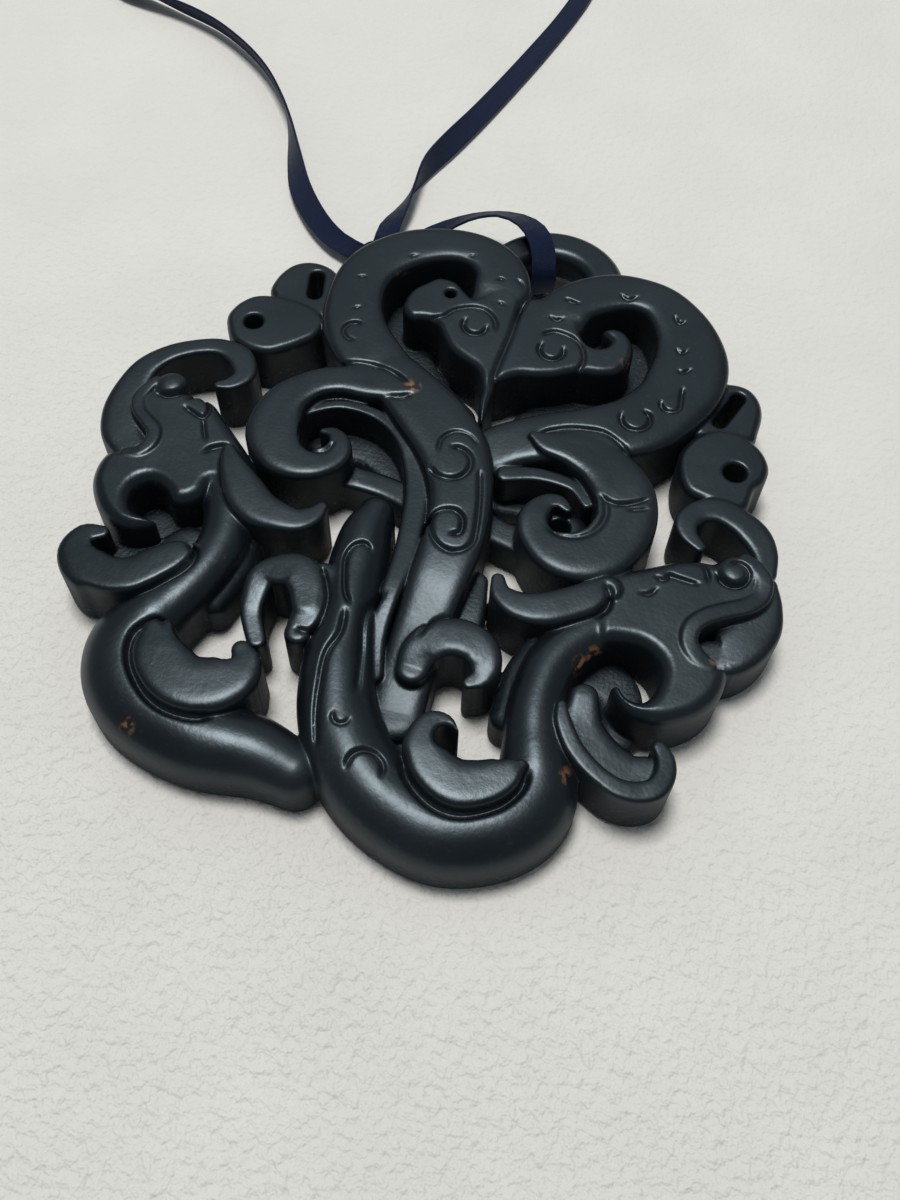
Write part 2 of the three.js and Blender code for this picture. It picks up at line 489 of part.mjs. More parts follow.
// The hanging ring, a band of rounded section around an upright bore.
function ringSolid() {
  const inner = ringBore / 2;
  const outer = inner + ringBand;
  const round = ringBand / 4;
  const outline = [
    [inner, ringLift], [outer, ringLift], [outer, ringTop - round], [outer - round, ringTop],
    [inner + round, ringTop], [inner, ringTop - round], [inner, ringLift],
  ];
  const geometry = new THREE.LatheGeometry(outline.map(([r, z]) => new THREE.Vector2(r, z)), 28);
  geometry.rotateX(Math.PI / 2);
  geometry.translate(ringCentre.x * across, ringCentre.y * along, 0);
  return toSolid(geometry);
}

function stone() {
  const edgeOf = (name) => (softStrands.includes(name) ? soft : crisp);
  const forms = Object.entries(singles).map(([name, rows]) => strandSolid(rows, edgeOf(name)));
  for (const [name, pair] of Object.entries(pairs)) {
    forms.push(strandSolid(pair.right, edgeOf(name)), strandSolid(leftRows(pair), edgeOf(name)));
  }
  forms.push(...Object.values(plates).map(plateSolid), ...lobes.map(lobeSolid));
  let solid = ringSolid();
  for (const form of forms) {
    solid = solid.add(form);
  }
  for (const hole of holes) {
    solid = solid.subtract(holeCutter(hole));
  }
  return toGeometry(solid);
}

// A flat cord through its places, with a section of ribbonSides sides as wide as the ribbon.
function ribbonGeometry(route) {
  const points = route.map(([x, y, z]) => new THREE.Vector3(x, y, z));
  const rings = route.map(([, , , azimuth, tilt], i) => {
    const ahead = points[Math.min(i + 1, points.length - 1)];
    const tangent = ahead.clone().sub(points[Math.max(i - 1, 0)]).normalize();
    const [turn, rise] = [THREE.MathUtils.degToRad(azimuth), THREE.MathUtils.degToRad(tilt)];
    const wide = new THREE.Vector3(
      Math.cos(turn) * Math.cos(rise), Math.sin(turn) * Math.cos(rise), Math.sin(rise),
    );
    const thick = tangent.clone().cross(wide).normalize();
    wide.crossVectors(thick, tangent);
    return Array.from({ length: ribbonSides }, (unused, k) => {
      const angle = ((k + 0.5) * 2 * Math.PI) / ribbonSides;
      const [c, s] = [Math.cos(angle), Math.sin(angle)];
      const reach = Math.cos(Math.PI / ribbonSides);
      return points[i].clone()
        .addScaledVector(wide, (c * ribbonWidth) / 2 / reach)
        .addScaledVector(thick, (s * ribbonThickness) / 2 / reach)
        .toArray();
    });
  });
  return loft(rings);
}

function knotGeometry() {
  const geometry = new THREE.SphereGeometry(knotRadius, 10, 6);
  geometry.rotateX(Math.PI / 2);
  geometry.scale(1, 1, knotHeight / 2 / knotRadius);
  geometry.translate(knot.x, knot.y, knotHeight / 2 + jointGap);
  return geometry;
}

// A coil's outer shape: its turns lie flat side by side.
function coilGeometry({ x, y }) {
  const reach = ((coilTurns + 1) * ribbonWidth) / 2;
  const outline = [
    [coilRadius - reach, 0], [coilRadius + reach, 0], [coilRadius + reach, coilHeight],
    [coilRadius - reach, coilHeight], [coilRadius - reach, 0],
  ];
  const geometry = new THREE.LatheGeometry(outline.map(([r, z]) => new THREE.Vector2(r, z)), 24);
  geometry.rotateX(Math.PI / 2);
  geometry.translate(x, y, 0);
  return geometry;
}

const pendant = new THREE.Group();
function addPiece(name, geometry, finish) {
  const mesh = new THREE.Mesh(geometry, finish);
  mesh.name = name;
  pendant.add(mesh);
  return mesh;
}

const stoneMesh = addPiece("stone", stone(), stoneFinish);
addPiece("ribbon_loop", ribbonGeometry(loopRoute), ribbonFinish);
addPiece("ribbon_knot", knotGeometry(), ribbonFinish);
addPiece("ribbon_left", ribbonGeometry(leftRoute), ribbonFinish);
addPiece("ribbon_right", ribbonGeometry(rightRoute), ribbonFinish);
addPiece("ribbon_left_coil", coilGeometry(leftCoil), ribbonFinish);
addPiece("ribbon_right_coil", coilGeometry(rightCoil), ribbonFinish);

// The origin is on the surface, under the middle of the stone.
const middle = new THREE.Box3().setFromObject(stoneMesh).getCenter(new THREE.Vector3());
pendant.position.set(-middle.x, -middle.y, 0);

export default pendant;
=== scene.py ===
import math

import bpy
import numpy as np
import openvdb
from mathutils import Matrix, Vector


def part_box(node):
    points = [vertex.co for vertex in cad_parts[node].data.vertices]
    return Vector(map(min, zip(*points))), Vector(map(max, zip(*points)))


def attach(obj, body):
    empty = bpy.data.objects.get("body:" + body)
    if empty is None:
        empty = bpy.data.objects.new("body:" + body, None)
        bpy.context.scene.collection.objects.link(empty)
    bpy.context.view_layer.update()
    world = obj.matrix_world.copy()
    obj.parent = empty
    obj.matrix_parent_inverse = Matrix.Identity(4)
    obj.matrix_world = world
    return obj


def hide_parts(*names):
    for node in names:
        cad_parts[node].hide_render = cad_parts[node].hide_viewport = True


# A carved soapstone pendant on a narrow satin ribbon, lying face up on a pale surface.
# Places are millimetres in the pendant's drawing: the ring at +Y, the flat back on z = 0.

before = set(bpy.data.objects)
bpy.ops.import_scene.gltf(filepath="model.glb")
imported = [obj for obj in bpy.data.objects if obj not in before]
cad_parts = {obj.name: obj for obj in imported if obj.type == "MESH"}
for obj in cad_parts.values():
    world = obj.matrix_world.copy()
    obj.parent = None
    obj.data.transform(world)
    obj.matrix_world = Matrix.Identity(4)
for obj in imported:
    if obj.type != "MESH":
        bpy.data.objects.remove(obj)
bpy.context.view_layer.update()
MM = 0.001

# The photograph's camera: its place, and where its picture's right and up point. The lens and
# the picture's longer side are given as on a 36 mm film.
CAMERA_PLACE = (27.397, -70.464, 108)
CAMERA_RIGHT = (0.92517, 0.37907, 0.01902)
CAMERA_UP = (-0.33358, 0.78818, 0.51720)
LENS = 36
LONGER_SIDE = 36
NEAREST_SEEN = 1 * MM

# The hanging ring.
RING_BORE = 8.4
RING_BAND = 4.7
RING_TOP = 5.6
RING_LIFT = 1.3
RING_CENTRE = (0.0, 33.6)
RING_ROUNDING = 1.5

# The ribbon.
RIBBON_WIDTH = 3.0
RIBBON_THICKNESS = 0.34
KNOT = (-22.3, 32.4)
KNOT_RADIUS = 2.2
KNOT_HEIGHT = 3.2
# How far the knot's middle lies above half its height, and which way its turn runs, in radians.
KNOT_LIFT = 0.3
KNOT_TURN = 0.6
COIL_RADIUS = 15.0
COIL_TURNS = 2
COIL_STEPS = 18
COIL_HEIGHT = 0.45
LEFT_COIL = (-88.9, 88.6)
RIGHT_COIL = (-33.0, 113.5)
# Where each end reaches its coil's outer turn, in degrees, and the half turn that it has tilted by.
LEFT_COIL_START = -75
RIGHT_COIL_START = -12
HALF_TURN = 180
# The gap between the ribbon's rows.
RIBBON_STEP = 1.5
# One face of its section, as shares of the half width and half thickness, thicker at the selvedges.
RIBBON_SECTION = [
    (1, 0), (0.96, 1), (0.88, 0.8), (0.4, 0.7), (0, 0.7), (-0.4, 0.7), (-0.88, 0.8), (-0.96, 1),
]

# The drawing's origin in the frame, found from the knot.
knot_low, knot_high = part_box("ribbon_knot")
SHIFT = (
    (knot_low[0] + knot_high[0]) / 2 - KNOT[0] * MM,
    (knot_low[1] + knot_high[1]) / 2 - KNOT[1] * MM,
)


def place(x, y, z):
    """A point of the drawing, in the frame's metres."""
    return Vector((x * MM + SHIFT[0], y * MM + SHIFT[1], z * MM))


# The camera

def make_camera():
    """The photograph's camera: above the lower edge and a little to the right, tilted."""
    right = Vector(CAMERA_RIGHT)
    up = Vector(CAMERA_UP)
    data = bpy.data.cameras.new("camera")
    data.sensor_width = LONGER_SIDE
    data.lens = LENS
    data.clip_start = NEAREST_SEEN
    camera = bpy.data.objects.new("camera", data)
    bpy.context.collection.objects.link(camera)
    turn = Matrix((right, up, right.cross(up))).transposed().to_4x4()
    camera.matrix_world = Matrix.Translation(place(*CAMERA_PLACE)) @ turn
    bpy.context.scene.camera = camera


make_camera()


# Smooth rows

def smooth_rows(rows, gap, closed=False):
    """Rows with smooth ones between them, about gap apart along x and y."""
    rows = np.array(rows, float)
    count = len(rows)
    out = []
    for k in range(count if closed else count - 1):
        a, b = rows[k], rows[(k + 1) % count]
        before = rows[k - 1] if closed or k else a
        after = rows[(k + 2) % count] if closed or k + 2 < count else b
        steps = max(1, round(float(np.linalg.norm((b - a)[:2])) / gap))
        for u in np.arange(steps) / steps:
            leaving, arriving = (b - before) / 2, (after - a) / 2
            bend = 3 * (b - a) - 2 * leaving - arriving
            twist = 2 * (a - b) + leaving + arriving
            out.append(a + u * (leaving + u * (bend + u * twist)))
    out.append(rows[0 if closed else -1])
    return np.array(out)


# The ribbon's routes: x, y, z, and the turn and the tilt of its width, in degrees.
LOOP_ROUTE = [
    (-20.4, 35.4, 1, 130, 0), (-17.4, 38.8, 2.4, 128, -15), (-13.4, 41.2, 4.2, 112, -30),
    (-9.3, 41.6, 5.8, 88, -30), (-5.8, 40.3, 6.8, 62, -15), (-3.4, 38.2, 7, 40, 0),
    (-2, 36.2, 6, 32, 0), (-1.3, 34.7, 4.2, 32, 0), (-1.3, 34.4, 2.2, 34, 0),
    (-2.3, 35.6, 0.8, 38, 0), (-4.2, 38.4, 0.6, 42, 0), (-7.6, 40.4, 0.5, 66, 0),
    (-12, 39.6, 0.5, 102, 0), (-16.2, 37, 0.5, 122, 0), (-19.2, 34.4, 0.5, 128, 0),
]
LEFT_ROUTE = [
    (-25, 32.5, 1.6, 75, 0), (-28.4, 33.4, 1.5, 65, 5), (-32.4, 35.9, 1.5, 51, 12),
    (-36.8, 40.2, 1.6, 40, 25), (-40.3, 45.4, 1.7, 33, 55), (-43.4, 50.5, 1.8, 34, 82),
    (-46.8, 55.2, 1.8, 40, 100), (-51.1, 59.6, 1.8, 50, 106), (-56.4, 63.4, 1.8, 60, 111),
    (-63, 66.6, 1.8, 70, 114), (-70, 68.3, 1.8, 79, 117), (-75, 69, 1.6, 83, 140),
    (-79.4, 69.6, 1.2, 85, 165),
]
RIGHT_ROUTE = [
    (-22.6, 35.2, 1.6, 12, -10), (-23.3, 38.6, 1.6, 5, 15), (-23.2, 42.1, 1.7, 0, 45),
    (-23.3, 46.6, 1.8, 0, 78), (-23.2, 51.1, 1.7, -5, 110), (-22.4, 56.6, 1.4, -9, 140),
    (-21.2, 63.9, 1, -9, 160), (-20, 71.8, 0.8, -8, 168), (-18.9, 79.6, 0.7, -7, 172),
    (-17.9, 88.3, 0.5, -5, 178), (-17.4, 94.6, 0.5, -4, 180), (-17.2, 99.3, 0.5, -3, 180),
]


def coil_route(centre, start, way):
    """Two flat turns side by side, going round inward from a point on the outer turn."""
    rows = []
    steps = COIL_STEPS * COIL_TURNS
    outer = COIL_RADIUS + COIL_TURNS * RIBBON_WIDTH / 2
    for i in range(steps + 1):
        angle = math.radians(start) + way * 2 * math.pi * COIL_TURNS * i / steps
        radius = outer - RIBBON_WIDTH * COIL_TURNS * i / steps
        x = centre[0] + radius * math.cos(angle)
        y = centre[1] + radius * math.sin(angle)
        rows.append((x, y, COIL_HEIGHT, math.degrees(angle) + HALF_TURN, HALF_TURN))
    return rows


def ribbon_mesh(name, rows):
    """A flat ribbon with rounded edges through its rows, given as points, a turn and a tilt."""
    points = rows[:, :3]
    ahead = np.vstack([points[1:], points[-1:]])
    back = np.vstack([points[:1], points[:-1]])
    tangent = ahead - back
    tangent /= np.linalg.norm(tangent, axis=1)[:, None]
    turn, rise = np.radians(rows[:, 3]), np.radians(rows[:, 4])
    wide = np.stack([np.cos(turn) * np.cos(rise), np.sin(turn) * np.cos(rise), np.sin(rise)], 1)
    thick = np.cross(tangent, wide)
    thick /= np.linalg.norm(thick, axis=1)[:, None]
    wide = np.cross(thick, tangent)
    half, deep = RIBBON_WIDTH / 2, RIBBON_THICKNESS / 2
    section = [(half * a, deep * b) for a, b in RIBBON_SECTION]
    section += [(-a, -b) for a, b in section]
    size = len(section)
    verts = []
    for p, w, t in zip(points, wide, thick):
        for a, b in section:
            verts.append(place(*(p + w * a + t * b)))
    faces = []
    for r in range(len(points) - 1):
        for i in range(size):
            j = (i + 1) % size
            faces.append((r * size + i, r * size + j, (r + 1) * size + j, (r + 1) * size + i))
    faces.append(tuple(range(size))[::-1])
    faces.append(tuple(range((len(points) - 1) * size, len(points) * size)))
    mesh = bpy.data.meshes.new(name)
    mesh.from_pydata(verts, [], faces)
    mesh.update()
    # The weave's coordinates, in millimetres along and across the ribbon.
    along = np.concatenate([[0], np.cumsum(np.linalg.norm(np.diff(points, axis=0), axis=1))])
    layer = mesh.uv_layers.new(name="weave")
    for loop in mesh.loops:
        r, i = divmod(loop.vertex_index, size)
        layer.data[loop.index].uv = (along[r], section[i][0] + half)
    for polygon in mesh.polygons:
        polygon.use_smooth = True
    piece = bpy.data.objects.new(name, mesh)
    bpy.context.collection.objects.link(piece)
    return piece, float(along[-1]) * MM


def make_ribbon(material):
    """The loop, the knot and the two ends with their coils."""
    knot = make_knot(material)
    loop_rows = smooth_rows(LOOP_ROUTE, RIBBON_STEP)
    loop, length = ribbon_mesh("satin_loop", loop_rows)
    dress(loop, material)
    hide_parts("ribbon_loop")
    ends = [
        ("left", LEFT_ROUTE, coil_route(LEFT_COIL, LEFT_COIL_START, -1)),
        ("right", RIGHT_ROUTE, coil_route(RIGHT_COIL, RIGHT_COIL_START, 1)),
    ]
    for side, route, turns in ends:
        rows = smooth_rows(route + turns, RIBBON_STEP)
        end, length = ribbon_mesh(f"satin_{side}", rows)
        dress(end, material)
        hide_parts(f"ribbon_{side}", f"ribbon_{side}_coil")


def make_knot(material):
    """A small flat overhand knot: a folded core with one turn of ribbon round it."""
    middle = KNOT_HEIGHT / 2 + KNOT_LIFT
    turn_reach, turn_rise = KNOT_RADIUS * 0.84, KNOT_HEIGHT * 0.4
    rows = []
    steps = 30
    for i in range(steps + 1):
        angle = 2 * math.pi * i / steps
        x = KNOT[0] + turn_reach * math.cos(angle) * math.cos(KNOT_TURN)
        y = KNOT[1] + turn_reach * math.cos(angle) * math.sin(KNOT_TURN)
        z = middle + turn_rise * math.sin(angle)
        rows.append((x, y, z, 90 + math.degrees(KNOT_TURN), 0))
    turn, _ = ribbon_mesh("knot_turn", np.array(rows, float))
    core_reach, core_rise = KNOT_RADIUS * 0.93, KNOT_HEIGHT * 0.36
    deep_fold, fine_fold = 0.09, 0.05
    core = bpy.data.meshes.new("knot_core")
    ball = []
    faces = []
    around, up = 20, 10
    for j in range(up + 1):
        rise = math.pi * j / up
        for i in range(around):
            angle = 2 * math.pi * i / around
            fold = 1 - deep_fold * math.cos(3 * angle) * math.sin(rise) - fine_fold * math.cos(7 * angle)
            reach = core_reach * math.sin(rise) * fold
            x = KNOT[0] + reach * math.cos(angle)
            y = KNOT[1] + reach * math.sin(angle)
            ball.append(place(x, y, middle + core_rise * math.cos(rise)))
    for j in range(up):
        for i in range(around):
            k = (i + 1) % around
            faces.append((j * around + i, (j + 1) * around + i, (j + 1) * around + k, j * around + k))
    core.from_pydata(ball, [], faces)
    core.update()
    # The weave's millimetres from one of the core's points to the next.
    weave_along, weave_across = 0.6, 0.3
    layer = core.uv_layers.new(name="weave")
    for loop in core.loops:
        j, i = divmod(loop.vertex_index, around)
        layer.data[loop.index].uv = (i * weave_along, j * weave_across)
    piece = bpy.data.objects.new("knot_core", core)
    bpy.context.collection.objects.link(piece)
    for other in (turn, piece):
        for polygon in other.data.polygons:
            polygon.use_smooth = True
    bpy.ops.object.select_all(action="DESELECT")
    turn.select_set(True)
    piece.select_set(True)
    bpy.context.view_layer.objects.active = turn
    bpy.ops.object.join()
    turn.name = "satin_knot"
    dress(turn, material)
    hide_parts("ribbon_knot")
    return turn


def dress(piece, material):
    """Gives a piece its material and its body."""
    piece.data.materials.clear()
    piece.data.materials.append(material)
    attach(piece, "root")


# The stone's strands, as rows along the middle: x, y, half width, height of the crest.
SINGLES = {
    "leftTail": [
        (-9, 10.4, 3, 7.6), (-13.6, 12.4, 3.6, 8), (-17.6, 16, 3.6, 8), (-19.6, 20.6, 3.3, 8),
        (-19.7, 25.4, 3.2, 8), (-17, 29.8, 3, 8), (-12.8, 32.4, 2.6, 8), (-9, 32.8, 2.6, 8),
        (-5.9, 31.2, 3, 8), (-4.3, 28.2, 3.4, 7.9), (-4.1, 25.4, 3.2, 7.5),
    ],
    "centreStrand": [
        (-10, 10.8, 3.2, 8), (-5.4, 7.9, 3.8, 8), (-1.6, 5, 3.9, 8), (1, 1.5, 3.6, 8),
        (2.7, -2.4, 3.3, 8), (3.6, -6.6, 3.2, 7.9), (4, -11.4, 3, 7.5), (4.3, -16, 2.8, 6.5),
        (4.8, -20.6, 2.7, 5.3), (5.6, -25.4, 2.6, 4.6),
    ],
    "rightTail": [
        (0, 3.6, 3, 6), (4, 7.4, 3, 7), (8, 9.9, 3.2, 7.6), (12.4, 12.1, 3.5, 8),
        (16.3, 15, 4, 8), (18.6, 19, 4.1, 8), (19.4, 22.6, 4.4, 8), (19.1, 26.3, 4.2, 8),
        (17.2, 30.1, 3.5, 8), (14, 33, 2.8, 8), (10.8, 33.6, 2.6, 8), (7.6, 32.6, 2.9, 8),
        (4.6, 30, 3, 8), (3.4, 27.4, 3.2, 7.9), (3.4, 24.8, 3, 7.5),
    ],
    "leftBody": [
        (-21, -24.9, 3.6, 7), (-21.6, -28.6, 4.4, 6.9), (-20, -31.8, 4.5, 6.9),
        (-16.4, -33.9, 4.4, 6.9), (-11, -34.6, 4.2, 6.9), (-5.2, -34, 3.5, 6.6), (-1.1, -34.3, 2.8, 6),
    ],
    "rightBody": [
        (19.3, -24.4, 3.2, 7), (20.4, -28, 4.2, 6.9), (18.6, -31.6, 4.4, 6.9), (14, -34.2, 4.4, 6.9),
        (8.8, -33.9, 4.2, 7.1), (4.3, -31.8, 4.1, 7.5), (0.9, -28.4, 3.9, 7.7), (-1.3, -24, 3.6, 7.8),
        (-2.8, -18.6, 3, 7.8), (-4.3, -13, 3, 7.7), (-5.2, -8.6, 2.7, 7.6), (-5.3, -5.8, 1.9, 7.3),
    ],
    "leftFoot": [
        (-6.9, -18.9, 1.6, 7.4), (-7.9, -16.9, 2.1, 7.5), (-9.4, -16, 2.1, 7.5), (-11.1, -16.5, 1.8, 7.3),
        (-12.3, -17.7, 1.5, 7), (-12.2, -19.7, 1.3, 6.6), (-11.6, -21.7, 1.1, 6.2), (-9.9, -24, 1, 6),
    ],
    "leftPaw": [(-6.6, -15.6, 1.7, 7.3), (-6.2, -19, 1.9, 7.3), (-6.3, -22.2, 1.3, 7)],
    "rightFoot": [
        (5.4, -21.2, 1.6, 6.4), (5.5, -19.2, 2, 7), (6.7, -17.5, 2.1, 7.4), (8.6, -16.7, 2.1, 7.5),
        (10.5, -17, 2, 7.4), (11.7, -18.3, 1.7, 7.2), (11.8, -19.8, 1.2, 6.9), (11.1, -20.7, 0.7, 6.7),
    ],
    "leftLedge": [
        (-18, 3, 0.8, 6.7), (-16.1, 4.7, 0.7, 6.7), (-14.1, 5.7, 0.7, 6.7), (-11.2, 5.9, 0.7, 6.7),
        (-8.5, 5.2, 0.8, 6.7), (-6, 3.6, 1, 6.7), (-4, 1.2, 1.2, 6.6), (-2.3, -2.1, 1.3, 6.6),
        (-1.2, -5.8, 1.3, 6.6), (-0.3, -10.1, 1.2, 6.7), (0.1, -14.3, 1, 6.8), (0.8, -18.9, 0.8, 6.2),
        (2.1, -22.8, 0.8, 5.6),
    ],
    "rightLedge": [
        (5.4, 3.8, 1, 6.6), (8.6, 5.1, 0.9, 6.6), (12.4, 5.2, 0.8, 6.6), (14.6, 3.6, 0.7, 6.6),
    ],
    "centreSkirt": [(7.2, -8.5, 1.1, 4.4), (7.8, -12, 1.5, 4.6), (8.6, -15.5, 1.4, 4.4)],
    "leftBridge": [(-11, -1.6, 1.5, 4.6), (-6, -1.2, 1.5, 4.4), (0, -2.4, 1.5, 4.6)],
    "rightBridge": [(4, -1.4, 1.6, 4.6), (8, -2, 1.6, 4.4), (12, -2.4, 1.6, 4.6)],
    "crotchWeb": [(3.6, -24.4, 2.2, 3.4), (8, -26.4, 2.4, 3.2), (10.6, -29, 2.2, 3.4)],
}

# Strands that both dragons have, drawn for the right one. The left one is its mirror image,
# moved by the nudge, or has rows of its own where the carver cut it otherwise.
PAIRS = {
    "bigScroll": {
        "right": [
            (6.6, 8.8, 0.5, 8), (8.3, 8.6, 1.5, 8), (11.3, 8.9, 2.3, 8), (14.7, 8.2, 3, 8),
            (17.5, 6, 3.4, 8), (18.7, 2.6, 3.6, 8), (18.4, -1, 3.4, 8), (16.4, -3.4, 3.1, 8),
            (13.7, -3.9, 2.6, 8), (11.3, -2.7, 2, 7.9), (10.3, -0.8, 1.7, 7.9), (10.8, 1.2, 1.1, 7.8),
            (12, 1.8, 0.8, 7.8), (13.1, 1.3, 0.5, 7.7),
        ],
        "left": [
            (-7.8, 9.3, 0.4, 8), (-9.6, 9.3, 1.6, 8), (-12.5, 8.8, 2.1, 8), (-15.7, 8, 1.9, 8),
            (-18.2, 6.2, 1.9, 8), (-19.9, 3, 2.5, 8), (-19.4, -0.9, 3.1, 8), (-16.9, -3.6, 2.7, 8),
            (-13.9, -3.8, 2, 8), (-12, -1.9, 1.8, 7.9), (-12.1, -0.1, 1.3, 7.9), (-13.2, 0.8, 0.8, 7.8),
            (-14.2, 0.6, 0.5, 7.7),
        ],
    },
    "crest": {
        "right": [
            (20, -6.2, 1.4, 7.9), (18.9, -7.6, 1.8, 8), (17.2, -9.2, 1.9, 8), (15, -10.8, 1.9, 8),
            (12.6, -11.4, 1.6, 7.9), (10.5, -10.8, 1.1, 7.8), (9.6, -9.4, 0.7, 7.7),
        ],
        "left": [
            (-22.5, -5.3, 0.5, 7.9), (-21.1, -7.1, 1.4, 8), (-18.6, -9.4, 2.2, 8), (-16.3, -10.8, 2.2, 8),
            (-13.9, -11.1, 1.8, 8), (-11.8, -10.8, 1.4, 7.9), (-10.6, -9.6, 1.1, 7.8),
            (-10.2, -8.3, 0.6, 7.7),
        ],
    },
    "forelock": {
        "right": [
            (27, 2.7, 0.6, 6.9), (25.5, 3.8, 1, 6.9), (24.9, 5.3, 1.3, 6.9), (25.7, 7.1, 1.4, 6.8),
            (27.6, 8.1, 1.5, 6.8), (30, 7.7, 1.6, 6.7), (32, 6.6, 1.7, 6.6), (33.4, 4.9, 1.4, 6.5),
            (34.2, 2.8, 1, 6.4),
        ],
        "left": [
            (-28, 2.6, 0.5, 6.9), (-26.8, 3.5, 0.9, 6.9), (-26.2, 5.3, 1.3, 6.9), (-27.8, 7.3, 1.5, 6.9),
            (-30.3, 7.8, 1.2, 6.9), (-32.6, 6.9, 1.1, 6.9), (-35.1, 5, 1.2, 6.8), (-36.7, 2.4, 1.5, 6.7),
            (-37, -0.3, 1.9, 6.5), (-36.6, -3.6, 2.2, 6.3), (-35.2, -6.2, 2.4, 6.2), (-33.5, -7.8, 2, 6.1),
        ],
    },
    "noseRidge": {
        "right": [
            (31.6, 2.5, 0.6, 7.7), (33, 2, 0.8, 7.7), (34.2, 0.7, 0.9, 7.6), (34.3, -1.1, 0.9, 7.5),
            (33.3, -2.7, 0.9, 7.6), (31.6, -4, 0.9, 7.7), (30, -5.4, 0.9, 7.8), (29, -7, 0.9, 7.8),
            (29.1, -8.7, 0.9, 7.7), (30.2, -9.9, 0.9, 7.6), (31.7, -10.4, 0.7, 7.4),
        ],
        "left": [
            (-34.1, 0, 0.5, 7.7), (-34.6, -1.5, 0.7, 7.6), (-34.7, -3.1, 0.7, 7.6), (-33.8, -4.4, 0.7, 7.6),
            (-32.4, -5.3, 0.7, 7.7), (-31, -6.2, 0.8, 7.7), (-30.5, -7.7, 0.8, 7.7), (-31, -9.1, 0.7, 7.6),
            (-32.3, -9.8, 0.6, 7.4),
        ],
    },
    "muzzle": {
        "right": [
            (34.7, 1.2, 1, 6.4), (35.2, -0.9, 1.6, 6.3), (35.2, -3.3, 2.2, 6.2), (34.2, -5.7, 2.6, 6.1),
            (32.8, -7.7, 2.4, 5.9), (31.5, -8.1, 1.6, 5.6),
        ],
        "left": [(-34.6, -1.2, 1.6, 5.6), (-34.2, -4.4, 2.2, 5.8), (-33, -7, 2, 5.8)],
    },
    "jaw": {
        "right": [
            (20, -19.7, 0.5, 7.1), (20.7, -21.2, 0.8, 7.1), (22.2, -23, 0.9, 7), (23.9, -24.2, 0.9, 6.9),
            (25.7, -25, 0.9, 6.8), (27.6, -25.4, 1, 6.7), (29.4, -25, 1.1, 6.6), (30.7, -24, 1.1, 6.6),
            (31.1, -22.4, 1, 6.5), (30.7, -20.9, 0.9, 6.4), (29.8, -19.9, 0.7, 6.3),
        ],
        "left": [
            (-29.9, -19.2, 0.8, 6.6), (-31.2, -20.1, 1.4, 6.7), (-31.1, -22, 2, 6.8),
            (-29.3, -23.3, 2.4, 6.9), (-26.7, -23.6, 2.4, 7), (-24.4, -22.7, 2.3, 7.1),
            (-22.7, -20.7, 2.2, 7.2), (-21.4, -18.8, 1.7, 7.2), (-20.4, -17.7, 0.9, 7.1),
        ],
    },
    "jawDish": {
        "right": [
            (21.6, -17.4, 1.4, 6), (22.6, -20.4, 2, 5.7), (25.2, -22.4, 2.2, 5.5), (27.8, -23, 2.2, 5.4),
            (29.4, -22.2, 1.6, 5.4),
        ],
        "left": [(-28, -19, 2, 3), (-24.4, -17.8, 2.4, 3.4), (-22.6, -15.4, 2, 4)],
    },
    "mouthFloor": {
        "right": [(20.5, -12.6, 2.2, 2.2), (24.2, -13.6, 2.4, 2), (26, -17.6, 2, 2)],
        "left": [(-23.4, -13, 2.4, 2.2), (-27.4, -13.8, 2.4, 2), (-29, -17.6, 1.8, 2)],
    },
    "neck": {
        "nudge": (1, 0.8),
        "right": [
            (22.4, -8, 2.2, 6.9), (19.2, -11.2, 2.6, 7.1), (17.5, -15.4, 2.6, 7.1), (17.8, -20.4, 2.7, 7.1),
            (19.8, -25.6, 3.4, 7),
        ],
    },
    "neckSkirt": {
        "nudge": (1.4, 0.6),
        "right": [(15.6, -13, 1.6, 5), (14.9, -17, 1.7, 4.8), (15.2, -21.5, 1.6, 4.8)],
    },
    "fin": {
        "right": [
            (11.8, -26.4, 0.5, 7.6), (10.7, -25.8, 0.8, 7.7), (9.6, -26.5, 1.4, 7.8), (9.7, -28.6, 2, 7.9),
            (11.3, -30.3, 2.3, 7.9), (13.6, -31, 2.5, 7.9), (15.6, -30.4, 2.5, 7.9), (17.4, -29, 2.1, 7.9),
            (18.3, -27.8, 1.3, 7.9), (18.7, -27.2, 0.6, 7.8),
        ],
        "left": [
            (-18.5, -27.5, 1.6, 7.8), (-17.6, -29.2, 2.6, 7.9), (-16.1, -30.6, 3, 7.9),
            (-13.7, -31.4, 3, 7.9), (-11.4, -30.8, 3, 7.9), (-9.6, -29.1, 2.6, 7.9),
            (-9.3, -27.3, 1.7, 7.8), (-10.1, -26.3, 1, 7.7),
        ],
    },
    "pocketFloor": {
        "right": [(7.4, 30.4, 2.6, 2), (12.6, 28, 3, 2), (12.6, 22, 3.4, 2), (5.4, 14.4, 3.2, 2)],
        "left": [
            (-8.4, 29.6, 2.8, 2), (-13.8, 28.4, 3, 2), (-15, 22, 3, 2), (-9.4, 15.6, 3, 2),
            (-3.4, 12.6, 2, 2),
        ],
    },
    "scrollFloor": {
        "right": [(5.4, 3.8, 2, 2.2), (10, 4.8, 2.4, 2.2), (14, 2.6, 1.8, 2.2)],
        "left": [(-5.8, 2.2, 2.2, 2.2), (-10.5, 4.4, 2.4, 2.2), (-15.5, 3.6, 2.4, 2.2)],
    },
}

